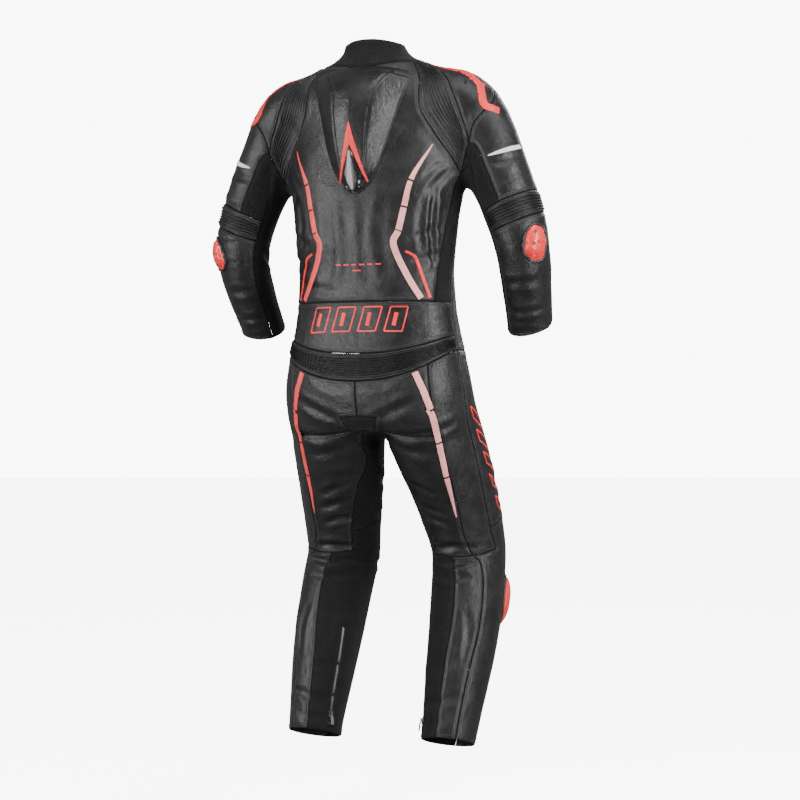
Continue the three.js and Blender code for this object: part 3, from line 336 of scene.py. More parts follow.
def whole(grid, back=True, front=True):
    """A half grid joined with its mirror image at centre back and centre front."""
    grid = grid.copy()
    other = grid[:, ::-1] * [-1, 1, 1]
    if back and front:
        return np.concatenate([grid, other[:, 1:-1]], 1), True
    if back:
        return np.concatenate([other[:, :-1], grid], 1), False
    return np.concatenate([grid, other[:, 1:]], 1), False


sleeve_top, sleeve_rings = sleeve_grids()
hip_half = hip_grid()
leg_rings = leg_grid(hip_half[CROTCH_ROW])
back_half, front_half, low_half = trunk_grids(sleeve_top, sleeve_rings, hip_half)
collar_half = collar_grid(back_half, sleeve_top, front_half)
NECK_ZIP = collar_half.shape[1] - 2
# Each chart: its grid, whether its columns close in a ring, the first row's and column's number.
CHARTS = {
    "shoulder": (sleeve_top, False, 0, 0),
    "sleeve": (sleeve_rings, True, RAGLAN_ROWS, 0),
    "back": (*whole(back_half, True, False), 0, -BACK_COL),
    "front": (*whole(front_half, False, True), 0, SIDE_COL),
    "trunk": (*whole(low_half), RAGLAN_ROWS, 0),
    "hip": (*whole(hip_half), 0, 0),
    "leg": (leg_rings, True, CROTCH_ROW, 0),
    "collar": (*whole(collar_half), 0, 0),
}

# ------------------------------------------------------------------ panels as fine smooth meshes
ROW_START = {"shoulder": 0, "sleeve": 0, "back": 0, "front": 0, "trunk": 0, "hip": 11, "leg": 11,
             "collar": -2}
ZC, ZR = ZIP_COL, 2 * CENTRE_COL - ZIP_COL  # the zip's two edges on the trunk ring
# Finish, then blocks of (chart, first row, last row, first column, last column).
PANELS = {
    "collar": ("stretch", [("collar", 0, 2, -NECK_ZIP, NECK_ZIP)]),
    "front_zip": ("zip", [("collar", 0, 2, NECK_ZIP, NECK_ZIP + 2), ("front", 0, 6, ZC, ZR),
                          ("trunk", 6, 11, ZC, ZR), ("hip", 0, 6, ZC, ZR)]),
    "back_panel": ("leather", [("back", 0, 6, -5, 5), ("trunk", 6, 11, -5, 5)]),
    "side_panel": ("stretch", [("trunk", 6, 11, 5, 7)]),
    "front_panel": ("leather", [("front", 0, 6, 7, 13), ("trunk", 6, 11, 7, 13), ("hip", 0, 4, 7, 13)]),
    "shoulder_accordion": ("leather", [("shoulder", 0, 6, 0, 3)]),
    "shoulder_panel": ("leather", [("shoulder", 0, 6, 3, 12)]),
    "upperarm_rib": ("rib", [("sleeve", 6, 10, 0, 3)]),
    "upperarm_outer": ("leather", [("sleeve", 6, 10, 3, 9)]),
    "sleeve_inner": ("stretch", [("sleeve", 6, 17, 9, 14)]),
    "elbow_accordion": ("leather", [("sleeve", 10, 11, 0, 9)]),
    "forearm": ("leather", [("sleeve", 11, 17, 0, 9)]),
    "waist_back": ("leather", [("hip", 0, 2, -7, 7)]),
    "lumbar_accordion": ("leather", [("hip", 2, 4, -7, 7)]),
    "seat_panel": ("leather", [("hip", 4, 6, 0, 1), ("hip", 4, 8, 1, 4)]),
    "crotch_gusset": ("stretch", [("hip", 6, 8, -1, 1)]),
    "thigh_back": ("leather", [("leg", 8, 13, 0, 4)]),
    "thigh_outer": ("leather", [("hip", 4, 8, 4, 7), ("leg", 8, 13, 4, 7)]),
    "thigh_front": ("leather", [("hip", 4, 6, 7, 13), ("hip", 6, 8, 7, 14), ("leg", 8, 12, 7, 13)]),
    "thigh_inner": ("stretch", [("leg", 8, 12, 13, 16)]),
    "calf_back": ("stretch", [("leg", 12, 21, 13, 16), ("leg", 13, 21, 16, 18)]),
    "calf_strip": ("leather", [("leg", 13, 21, 2, 4)]),
    "shin_panel": ("leather", [("leg", 12, 13, 7, 13), ("leg", 13, 21, 4, 13)]),
}
WHOLE = {"collar", "front_zip", "back_panel", "waist_back", "lumbar_accordion", "crotch_gusset"}
# Samples a cell (down, across) where folds need more of them.
SPLIT = {"shoulder_accordion": (10, 28), "lumbar_accordion": (44, 10), "elbow_accordion": (64, 8)}
RIDGES = {"shoulder_accordion": (11, 1), "lumbar_accordion": (11, 0), "elbow_accordion": (8, 0)}
RIDGE_HIGH = {"shoulder_accordion": 2.6, "lumbar_accordion": 3.4, "elbow_accordion": 3.0}
WALL, INSET, ROLL = 1.8, 0.15, 1.3
SIDES = (("_left", 1), ("_right", -1))


def sample_chart(name, rows, cols):
    grid, ring, row0, col0 = CHARTS[name]
    r, c = np.asarray(rows, float) - row0, np.asarray(cols, float) - col0
    height, width = grid.shape[:2]
    i = np.clip(np.floor(r + 1e-9).astype(int), 0, height - 2)
    j = np.floor(c + 1e-9).astype(int)
    if not ring:
        j = np.clip(j, 0, width - 2)
    t, s = r - i, c - j

    def weights(x):
        x2, x3 = x * x, x * x * x
        return [(-x3 + 2 * x2 - x) / 2, (3 * x3 - 5 * x2 + 2) / 2,
                (-3 * x3 + 4 * x2 + x) / 2, (x3 - x2) / 2]

    out = 0
    for a, wa in enumerate(weights(t)):
        ri = i + a - 1
        down = np.clip(ri, 0, height - 1)
        for b, wb in enumerate(weights(s)):
            cj = j + b - 1
            cj = cj % width if ring else np.clip(cj, 0, width - 1)
            out = out + (wa * wb)[..., None] * grid[down, cj]
    return out


def quads_of(ids):
    return np.stack([ids[:-1, :-1], ids[:-1, 1:], ids[1:, 1:], ids[1:, :-1]], -1)


class Panel:
    """One cloth piece: places, directions, faces, and its border."""

    def __init__(self, name):
        self.kind = name
        self.finish, blocks = PANELS[name]
        down, across = SPLIT.get(name, (FINE, FINE))
        index, points, quads, fibre, weight = {}, [], [], [], []
        for chart, r0, r1, c0, c1 in blocks:
            rows = np.linspace(r0, r1, (r1 - r0) * down + 1)
            cols = np.linspace(c0, c1, (c1 - c0) * across + 1)
            place = sample_chart(chart, *np.meshgrid(rows, cols, indexing="ij"))
            shift = ROW_START[chart] * down
            turn = 13 * across - NECK_ZIP * across if (chart == "collar" and name == "front_zip") else 0
            ids = np.zeros((len(rows), len(cols)), int)
            for a in range(len(rows)):
                for b in range(len(cols)):
                    col = round(cols[b] * across) + turn
                    if chart == "leg":
                        col %= LEG_COLS * across
                    key = (round(rows[a] * down) + shift, col)
                    if key not in index:
                        index[key] = len(points)
                        points.append(place[a, b].copy())
                        fibre.append(((a / (len(rows) - 1)), (b / (len(cols) - 1))))
                        weight.append(1)
                    else:
                        k = index[key]
                        points[k] = (points[k] * weight[k] + place[a, b]) / (weight[k] + 1)
                        weight[k] += 1
                    ids[a, b] = index[key]
            quads.append(quads_of(ids).reshape(-1, 4))
        self.quads = np.concatenate(quads)
        self.fibre = np.array(fibre)
        self.p, self.n = land(np.array(points), 5)
        self.find_border()

    def find_border(self):
        edges = {}
        for ring in self.quads.tolist():
            for k in range(4):
                edges[(ring[k], ring[(k + 1) % 4])] = True
        border = [e for e in edges if (e[1], e[0]) not in edges]
        self.border = np.array(border)
        after = {}
        for a, b in border:
            after.setdefault(a, []).append(b)
        spots, runs, run = [], [], 0.0
        seen = set()
        for start in [a for a, _ in border]:
            while start in after and start not in seen:
                seen.add(start)
                end = after[start][0]
                long = np.linalg.norm(self.p[end] - self.p[start])
                for t in np.linspace(0, 1, max(2, int(long)), endpoint=False):
                    spots.append(self.p[start] + (self.p[end] - self.p[start]) * t)
                    runs.append(run + long * t)
                run += long
                start = end
        self.length = run
        tree = KDTree(len(spots))
        for k, s in enumerate(spots):
            tree.insert(s, k)
        tree.balance()
        found = [tree.find(q) for q in self.p]
        self.seam = np.array([f[2] for f in found])
        self.run = np.array([runs[f[1]] for f in found])
        self.seam[np.unique(self.border)] = 0
        # In-plane direction away from the border at each border point.
        pull = np.zeros_like(self.p)
        count = np.zeros(len(self.p))
        way = unit(self.p[self.border[:, 1]] - self.p[self.border[:, 0]])
        for end in (0, 1):
            at = self.border[:, end]
            np.add.at(pull, at, unit(np.cross(self.n[at], way)))
            np.add.at(count, at, 1)
        size = np.maximum(dot(pull, pull), 0.5)
        self.pull = pull * (2 / size)[:, None] * (count > 0)[:, None]


def wave(p, scale, seed):
    """Soft uneven field about zero, from a few crossing sines."""
    r = np.random.default_rng(seed)
    out = 0
    for k in range(5):
        way = unit(r.normal(size=3)) * (0.7 + 0.8 * r.random())
        out = out + np.sin(p @ way * (2 * math.pi / scale) + 6.28 * r.random()
                           + 0.9 * np.sin(p @ unit(r.normal(size=3)) * (2 * math.pi / (scale * 1.7))))
    return out / 5


# Creases listed one by one: points on the cloth, depth of the trough, its half width; and the same on
# the other side at a share of the depth, shifted, so that the two sides are alike but not equal.
CREASES = []


def crease(points, deep, wide, share=0.8, shift=(0, 0, 6)):
    CREASES.append((np.array(points, float), deep, wide))
    if share:
        CREASES.append(((np.array(points, float) + shift) * [-1, 1, 1], deep * share, wide))


# Upper back and armpits.
crease([(186, 62, -212), (168, 84, -238), (146, 98, -270)], 1.8, 8)
crease([(176, 70, -196), (160, 86, -215), (132, 96, -236)], 1.2, 7)
crease([(207, 52, -172), (222, 50, -205), (224, 44, -240)], 2.2, 8)
crease([(204, -50, -180), (222, -56, -212), (228, -58, -246)], 2.0, 8)
crease([(-163, 78, -240), (-159, 84, -300), (-160, 82, -345), (-170, 70, -402)], 2.6, 7, 0.5)
crease([(-146, 98, -262), (-138, 103, -318), (-146, 98, -372)], 1.1, 8, 0.8)
# Small of the back and waist.
crease([(66, 100, -250), (52, 108, -330), (60, 104, -396), (76, 96, -446)], 0.9, 12, 0.8)
crease([(24, 110, -262), (17, 110, -350), (24, 104, -438)], 0.7, 12, 0.9)
crease([(158, 44, -322), (140, 84, -340), (104, 100, -352)], 1.6, 8)
crease([(162, 20, -372), (148, 72, -386), (108, 94, -396)], 1.5, 8)
crease([(150, 66, -418), (96, 96, -436), (40, 100, -446)], 1.2, 8)
crease([(-152, 62, -430), (-104, 92, -444), (-58, 100, -452)], 1.0, 7, 0)
crease([(160, 30, -478), (110, 90, -488), (30, 106, -482)], 0.9, 9, 0.7)
# Chest and belly.
crease([(150, -76, -190), (112, -106, -232), (72, -116, -262)], 1.5, 10)
crease([(150, -70, -290), (96, -102, -318), (36, -112, -338)], 1.6, 9)
crease([(152, -56, -372), (98, -96, -398), (30, -104, -410)], 1.8, 9)
crease([(146, -62, -440), (90, -96, -456), (28, -102, -452)], 1.6, 8)
crease([(158, -66, -512), (100, -102, -526), (34, -112, -520)], 1.6, 9)
# Fold of the hip.
crease([(172, -66, -560), (122, -104, -598), (62, -122, -640), (30, -108, -684)], 3.0, 10)
crease([(184, -58, -602), (140, -106, -640), (84, -128, -680)], 2.4, 9)
crease([(188, -70, -660), (146, -122, -690), (80, -140, -716)], 1.8, 9)
# Seat and below it.
crease([(24, 98, -640), (60, 104, -628), (96, 100, -610)], 1.0, 9)
crease([(26, 84, -694), (60, 92, -690), (106, 84, -668), (150, 60, -640)], 1.3, 9)
crease([(34, 58, -734), (76, 66, -738), (128, 48, -724), (164, 20, -700)], 2.6, 9)
crease([(42, 44, -766), (90, 50, -772), (146, 26, -764)], 1.7, 8)
crease([(40, 0, -742), (26, -40, -742), (30, -86, -730)], 1.6, 8)
# Thighs.
crease([(56, -8, -838), (98, 4, -850), (142, -6, -862)], 1.7, 7, 0.6)
crease([(62, -22, -872), (104, -12, -884), (150, -18, -890)], 2.0, 7, 0.5, (0, 0, -9))
crease([(60, -42, -918), (100, -34, -912), (146, -38, -922)], 2.2, 7, 0.6)
crease([(196, -60, -800), (206, -110, -826), (196, -160, -842)], 1.4, 10)
crease([(56, -150, -800), (96, -186, -822), (146, -190, -838)], 1.6, 10)
crease([(80, -200, -888), (130, -212, -902), (186, -196, -898)], 1.4, 9)
crease([(48, -60, -800), (44, -110, -822), (58, -156, -838)], 1.7, 8)
crease([(58, -90, -880), (56, -130, -896), (72, -170, -902)], 1.7, 8)
# Behind and inside the knees.
crease([(66, -110, -958), (98, -78, -968), (142, -72, -962), (182, -88, -966)], 2.4, 7)
crease([(70, -120, -996), (98, -84, -992), (142, -76, -1000), (180, -90, -996)], 3.2, 7)
crease([(76, -116, -1026), (106, -74, -1024), (146, -64, -1030), (176, -76, -1026)], 2.0, 7)
crease([(68, -150, -1000), (70, -186, -1010), (84, -214, -1012)], 1.6, 7)
# Calves and ankles.
crease([(120, -34, -1062), (112, -26, -1112), (118, -14, -1160)], 1.4, 8)
crease([(176, -40, -1080), (186, -32, -1134), (180, -16, -1190)], 1.3, 8)
crease([(84, -44, -1196), (116, 2, -1206), (160, 6, -1198)], 1.3, 8)
crease([(92, -20, -1262), (124, 24, -1268), (168, 22, -1258), (196, -4, -1262)], 1.9, 8)
crease([(96, -4, -1302), (128, 36, -1306), (170, 30, -1300)], 1.6, 7)
crease([(100, -70, -1290), (140, -92, -1296), (184, -72, -1290)], 1.5, 8)
# Sleeves.
crease([(300, 20, -186), (288, 50, -200), (256, 56, -206)], 1.6, 8)
crease([(322, 14, -246), (306, 46, -262), (268, 58, -268)], 1.8, 8)
crease([(332, 10, -300), (312, 46, -312), (272, 54, -306)], 1.6, 7)
crease([(236, -54, -262), (272, -66, -282), (312, -52, -292)], 1.7, 9)
crease([(250, -52, -330), (284, -74, -340), (330, -58, -342)], 2.4, 8)
crease([(252, -60, -362), (286, -84, -372), (340, -66, -374)], 3.0, 8)
crease([(254, -74, -396), (288, -98, -404), (338, -80, -404)], 2.2, 8)
crease([(250, 8, -352), (246, -20, -366), (252, -50, -374)], 1.8, 7)
crease([(340, -8, -424), (316, 14, -434), (276, 6, -432)], 1.3, 8)
crease([(336, -44, -478), (310, -26, -486), (270, -38, -482)], 1.5, 7)
crease([(330, -86, -520), (302, -62, -520), (268, -70, -512)], 1.3, 7)
crease([(222, 62, -136), (204, 72, -160), (190, 74, -190)], 1.2, 8)
landed = land(np.concatenate([points for points, _, _ in CREASES]), 10)[0]
starts = np.cumsum([0] + [len(points) for points, _, _ in CREASES])
LANDED = [(landed[a:b], deep, wide) for a, b, (_, deep, wide) in zip(starts, starts[1:], CREASES)]


def folds(p):
    """Troughs with a soft ridge on each side, fading at both ends."""
    out = np.zeros(len(p))
    for path, deep, wide in LANDED:
        line = read_rows(path, np.linspace(0, len(path) - 1, 14))
        reach = 4.5 * wide
        near = np.all((p > line.min(0) - reach) & (p < line.max(0) + reach), axis=1)
        if not near.any():
            continue
        q = p[near]
        best, along = np.full(len(q), 1e9), np.zeros(len(q))
        for k, (a, b) in enumerate(zip(line[:-1], line[1:])):
            way = b - a
            t = (q - a) @ way / (way @ way)
            inside = np.clip(t, -0.6 if k == 0 else 0, 1.6 if k == 12 else 1)
            d = np.linalg.norm(q - a - inside[:, None] * way, axis=1)
            closer = d < best
            best[closer], along[closer] = d[closer], ((k + inside) / 13)[closer]
        fade = np.sin(np.pi * np.clip(along, 0, 1)) ** 0.7
        narrow = wide * (0.75 + 0.35 * fade)
        x = best / narrow
        out[near] += deep * fade * (-1.25 * np.exp(-x * x) + 0.75 * np.exp(-((x - 1.7) / 0.85) ** 2))
    return out


def smooth(x):
    x = np.clip(x, 0, 1)
    return x * x * (3 - 2 * x)


FOLD_GAIN = 1.6


def lift_of(panel, p, seed):
    """How far the cloth stands off the plain form at each point."""
    calm = {"leather": 1.0, "stretch": 0.75, "rib": 0.7, "zip": 0.3}[panel.finish]
    s = panel.seam
    out = calm * smooth(s / 14) * (0.9 * wave(p, 120, seed) + 0.55 * wave(p, 46, seed + 1))
    if panel.finish != "zip":
        out += folds(p) * calm * FOLD_GAIN
        out += 0.8 * np.exp(-(((s - 8) / 4.5) ** 2)) - 0.35 * np.exp(-((s / 3) ** 2))
        out += 0.3 * smooth(1 - s / 16) * np.sin(panel.run / 7.5 + 2 * wave(p, 60, seed + 2))
    if panel.kind in RIDGES:
        count, axis = RIDGES[panel.kind]
        other = panel.fibre[:, 1 - axis]
        along = panel.fibre[:, axis]
        along = along + 0.006 * np.sin(other * 17 + seed) * np.sin(along * np.pi)
        ridge = (0.5 - 0.5 * np.cos(along * count * 2 * np.pi)) ** 0.8
        uneven = 1 + 0.16 * wave(p, 55, seed + 3)
        out = out * (1 - 0.5 * smooth(s / 10)) + RIDGE_HIGH[panel.kind] * ridge * uneven * smooth(s / 7)
    return out


def make_object(name, verts, faces, materials, face_mats=None, floats=None, hard=False):
    """A mesh object in metres from points in millimetres and lists of faces by corner count."""
    mesh = bpy.data.meshes.new(name)
    verts = np.asarray(verts, float)
    mesh.vertices.add(len(verts))
    mesh.vertices.foreach_set("co", (verts * MM).astype(np.float32).ravel())
    loops = np.concatenate([f.ravel() for f in faces])
    sizes = np.concatenate([np.full(len(f), f.shape[1]) for f in faces])
    starts = np.concatenate([[0], np.cumsum(sizes)[:-1]])
    mesh.loops.add(len(loops))
    mesh.loops.foreach_set("vertex_index", loops.astype(np.int32))
    mesh.polygons.add(len(sizes))
    mesh.polygons.foreach_set("loop_start", starts.astype(np.int32))
    mesh.update(calc_edges=True)
    mesh.validate()
    mesh.polygons.foreach_set("use_smooth", np.full(len(mesh.polygons), not hard))
    for material in materials:
        mesh.materials.append(material)
    if face_mats is not None and len(face_mats) == len(mesh.polygons):
        mesh.polygons.foreach_set("material_index", np.asarray(face_mats, np.int32))
    for key, values in (floats or {}).items():
        layer = mesh.attributes.new(key, "FLOAT", "POINT")
        layer.data.foreach_set("value", np.asarray(values, np.float32))
    mesh.update()
    obj = bpy.data.objects.new(name, mesh)
    bpy.context.scene.collection.objects.link(obj)
    return obj


BLOCK_FACES = np.array([(3, 2, 1, 0), (4, 5, 6, 7), (0, 1, 5, 4), (1, 2, 6, 5), (2, 3, 7, 6), (3, 0, 4, 7)])


class Build:
    """Grids gathered into one mesh."""

    def __init__(self):
        self.verts, self.faces, self.mats, self.count = [], [], [], 0

    def grid(self, points, mat=0, closed=False, flip=False):
        points = np.asarray(points, float)
        rows, cols = points.shape[:2]
        ids = np.arange(rows * cols).reshape(rows, cols) + self.count
        if closed:
            ids = np.concatenate([ids, ids[:, :1]], 1)
        quads = quads_of(ids)
        mats = np.broadcast_to(mat, quads.shape[:2])
        quads = quads.reshape(-1, 4)
        self.faces.append(quads[:, ::-1] if flip else quads)
        self.mats.append(mats.ravel())
        self.verts.append(points.reshape(-1, 3))
        self.count += rows * cols

    def block(self, corners):
        """A closed solid on four low and four high corners."""
        self.verts.append(np.asarray(corners, float))
        self.faces.append(BLOCK_FACES + self.count)
        self.mats.append(np.zeros(len(BLOCK_FACES), int))
        self.count += len(corners)

    def object(self, name, materials, hard=False):
        return make_object(name, np.concatenate(self.verts), self.faces, materials,
                           np.concatenate(self.mats), None, hard)


class Shade:
    """Small helper that writes shader nodes."""

    def __init__(self, name, color, rough, specular=0.5, metal=0.0, coat=0.0, sheen=0.0):
        self.mat = bpy.data.materials.new(name)
        self.mat.use_nodes = True
        self.tree = self.mat.node_tree
        self.shader = self.tree.nodes["Principled BSDF"]
        s = self.shader.inputs
        s["Base Color"].default_value = (*color, 1)
        s["Roughness"].default_value = rough
        s["Metallic"].default_value = metal
        s["Specular IOR Level"].default_value = specular
        s["Coat Weight"].default_value = coat
        s["Sheen Weight"].default_value = sheen
        self.place = self.node("ShaderNodeTexCoord").outputs["Object"]

    def node(self, kind, **props):
        n = self.tree.nodes.new(kind)
        for key, value in props.items():
            setattr(n, key, value)
        return n

    def put(self, socket, value):
        if isinstance(value, (int, float)):
            socket.default_value = value
        elif isinstance(value, tuple):
            socket.default_value = value if len(value) == 4 else (*value, 1)
        else:
            self.tree.links.new(value, socket)

    def math(self, op, a, b=0.0):
        n = self.node("ShaderNodeMath", operation=op)
        for socket, value in zip(n.inputs, (a, b)):
            self.put(socket, value)
        return n.outputs[0]

    def mul(self, a, b):
        return self.math("MULTIPLY", a, b)

    def noise(self, scale, detail):
        n = self.node("ShaderNodeTexNoise")
        self.put(n.inputs["Vector"], self.place)
        n.inputs["Scale"].default_value = scale
        n.inputs["Detail"].default_value = detail
        n.inputs["Roughness"].default_value = 0.55
        return n.outputs["Fac"]

    def cells(self, scale):
        n = self.node("ShaderNodeTexVoronoi", feature="SMOOTH_F1")
        self.put(n.inputs["Vector"], self.place)
        n.inputs["Scale"].default_value = scale
        n.inputs["Smoothness"].default_value = 0.4
        return n.outputs["Distance"]

    def ramp(self, value, low, high, start=0.0, end=1.0):
        n = self.node("ShaderNodeMapRange", interpolation_type="SMOOTHSTEP")
        for socket, v in zip(n.inputs, (value, low, high, start, end)):
            self.put(socket, v)
        return n.outputs[0]

    def attr(self, name):
        return self.node("ShaderNodeAttribute", attribute_name=name).outputs["Fac"]

    def blend(self, share, a, b):
        n = self.node("ShaderNodeMix", data_type="RGBA")
        self.put(n.inputs[0], share)
        self.put(n.inputs[6], a)
        self.put(n.inputs[7], b)
        return n.outputs[2]

    def axes(self):
        n = self.node("ShaderNodeSeparateXYZ")
        self.put(n.inputs[0], self.place)
        return n.outputs

    def bump(self, height, strength):
        """Height in millimetres."""
        n = self.node("ShaderNodeBump")
        n.inputs["Strength"].default_value = strength
        n.inputs["Distance"].default_value = MM
        self.put(n.inputs["Height"], height)
        self.put(self.shader.inputs["Normal"], n.outputs[0])

    def add(self, *values):
        out = values[0]
        for v in values[1:]:
            out = self.math("ADD", out, v)
        return out

    def bell(self, value, middle, half):
        """One at the middle, nothing further off than half."""
        away = self.math("ABSOLUTE", self.math("SUBTRACT", value, middle))
        return self.ramp(away, 0.0, half, 1.0, 0.0)


def scaled(color, share):
    return tuple(c * share for c in color)


THREAD_PITCH = 3.4


def stitched(s):
    """Two rows of topstitching beside a seam: the height they add and where thread shows."""
    seam, run = s.attr("seam"), s.attr("run")
    rows = s.math("MAXIMUM", s.bell(seam, 3.2, 1.3), s.bell(seam, 7.2, 1.3))
    beat = s.math("SINE", s.mul(run, 2 * math.pi / THREAD_PITCH))
    thread = s.mul(rows, s.ramp(beat, -0.35, 0.35))
    welt = s.ramp(seam, 0.0, 2.6)
    height = s.add(s.mul(rows, -0.9), s.mul(thread, 0.6), s.mul(welt, 0.5))
    return height, thread


def leather(name, color, rough, grain=0.16, dots=False, stitches=True, worn=0.5):
    s = Shade(name, color, rough, specular=0.42)
    broad, fine = s.noise(28, 4), s.noise(240, 3)
    cells = s.cells(620)
    height = s.add(s.mul(cells, grain * 1.6), s.mul(fine, 0.5),
                   s.mul(s.noise(75, 3), 1.5))
    light = tuple(min(1.0, c * (1 + worn)) for c in color)
    tone = s.blend(s.ramp(broad, 0.3, 0.7), scaled(color, 0.78), light)
    if stitches:
        seam_height, thread = stitched(s)
        height = s.add(height, seam_height)
        # The stitch rows are coloured a lighter grey: partly the thread's own colour, partly a painted highlight
        # along the stitches.
        tone = s.blend(s.mul(thread, 0.75), tone, tuple(0.06 + 0.9 * c for c in color))
    if dots:
        x, _, z = s.axes()
        side = s.math("ABSOLUTE", x)
        # A slanting field of punched holes on each side of the hump.
        lean = s.math("ADD", side, s.mul(z, -0.5))
        field = s.mul(s.ramp(lean, 0.1545, 0.1565), s.ramp(lean, 0.1815, 0.1835, 1.0, 0.0))
        field = s.mul(field, s.mul(s.ramp(z, -0.236, -0.232), s.ramp(z, -0.132, -0.128, 1.0, 0.0)))
        pitch = 2 * math.pi / 0.0052
        over = s.math("COSINE", s.mul(lean, pitch))
        down = s.math("COSINE", s.mul(z, pitch))
        hole = s.mul(s.ramp(s.math("ADD", over, down), 0.7, 1.25), field)
        height = s.add(height, s.mul(hole, -1.2))
        # Each hole is coloured near black: painted shade inside the hole, which is only a bump and not cut in the
        # mesh.
        tone = s.blend(hole, tone, (0.002, 0.002, 0.002))
    even = s.add(s.ramp(fine, 0.3, 0.75, rough - 0.05, rough + 0.10),
                 s.ramp(broad, 0.3, 0.7, -0.04, 0.06))
    if stitches:
        # The cut edge turned into the seam is matt, and its colour is darkened to near black: painted shade in
        # the groove between panels.
        even = s.add(even, s.ramp(s.attr("seam"), 0.0, 1.2, 0.5, 0.0))
        tone = s.blend(s.ramp(s.attr("seam"), 0.0, 1.6, 0.85, 0.0), tone, (0.002, 0.002, 0.002))
    s.put(s.shader.inputs["Base Color"], tone)
    s.put(s.shader.inputs["Roughness"], even)
    s.bump(height, 0.9)
    return s.mat


def stretch(name, color, ribs=0):
    s = Shade(name, color, 0.82, specular=0.16, sheen=0.05)
    s.shader.inputs["Sheen Roughness"].default_value = 0.6
    x, y, z = s.axes()
    weave = 2 * math.pi / 0.0016
    across = s.math("SINE", s.mul(s.math("ADD", x, y), weave))
    down = s.math("SINE", s.mul(z, weave))
    height = s.add(s.mul(s.mul(across, down), 0.16), s.mul(s.noise(90, 3), 1.3))
    seam_height, thread = stitched(s)
    height = s.add(height, s.mul(seam_height, 0.7))
    tone = s.blend(s.ramp(s.noise(34, 4), 0.3, 0.7), scaled(color, 0.8), scaled(color, 1.35))
    if ribs:
        rib = s.math("SINE", s.mul(s.attr("fibre_across"), 2 * math.pi * ribs))
        height = s.add(height, s.mul(rib, 0.75))
        # The troughs between ribs are darkened: painted shade in the grooves.
        tone = s.blend(s.ramp(rib, -1.0, 0.2, 0.6, 0.0), tone, scaled(color, 0.35))
    # The stitch rows are coloured a lighter grey: partly the thread's own colour, partly a painted highlight
    # along the stitches.
    tone = s.blend(s.mul(thread, 0.4), tone, tuple(0.015 + c for c in color))
    s.put(s.shader.inputs["Base Color"], tone)
    s.bump(height, 0.9)
    return s.mat


def moulded(name, color, rough, coat=0.0, scuff=0.25):
    """Hard plastic with faint scuffs and moulding grain."""
    s = Shade(name, color, rough, coat=coat)
    fine = s.noise(420, 4)
    tone = s.blend(s.ramp(s.noise(60, 5), 0.35, 0.7), color, scaled(color, 1 - scuff))
    s.put(s.shader.inputs["Base Color"], tone)
    s.put(s.shader.inputs["Roughness"], s.ramp(fine, 0.3, 0.75, rough - 0.04, rough + 0.12))
    s.bump(s.mul(fine, 0.12), 0.6)
    return s.mat


def metal(name, color, rough):
    s = Shade(name, color, rough, metal=1.0)
    scratch = s.noise(700, 5)
    s.put(s.shader.inputs["Roughness"], s.ramp(scratch, 0.3, 0.75, rough - 0.08, rough + 0.16))
    s.bump(s.mul(scratch, 0.05), 0.5)
    return s.mat


BLACK = (0.0085, 0.0085, 0.0092)
TRIM = {"grain": 0.12, "stitches": False, "worn": 0.06}
MATERIALS = {
    "leather": leather("black_leather", BLACK, 0.40),
    "dotted": leather("punched_leather", BLACK, 0.40, dots=True),
    "smooth": leather("hump_leather", (0.008, 0.008, 0.0087), 0.33, grain=0.12, stitches=False),
    "stretch": stretch("black_stretch", (0.0045, 0.0045, 0.005)),
    "rib": stretch("ribbed_stretch", (0.006, 0.006, 0.0065), ribs=15),
    "coral": leather("coral_leather", (0.95, 0.036, 0.03), 0.45, **TRIM),
    "pink_left": leather("rose_leather", (0.90, 0.085, 0.075), 0.42, **TRIM),
    # The right side's stripe leather is a much paler copy of the left's: painted highlight for light falling on
    # that side.
    "pink_right": leather("stripe_leather_painted_highlight", (1.0, 0.40, 0.37), 0.42, **TRIM),
    "white": leather("reflective_white", (0.80, 0.80, 0.82), 0.35, grain=0.06, stitches=False, worn=0.05),
    "plastic": moulded("coral_plastic", (0.95, 0.034, 0.028), 0.32, coat=0.25, scuff=0.12),
    "black_plastic": moulded("black_plastic", (0.02, 0.02, 0.022), 0.4),
    "gloss": moulded("gloss_insert", (0.006, 0.006, 0.008), 0.2, coat=0.3, scuff=0.0),
    "metal": metal("dark_metal", (0.12, 0.12, 0.125), 0.38),
    "zip": stretch("zip_tape", (0.007, 0.007, 0.008)),
}


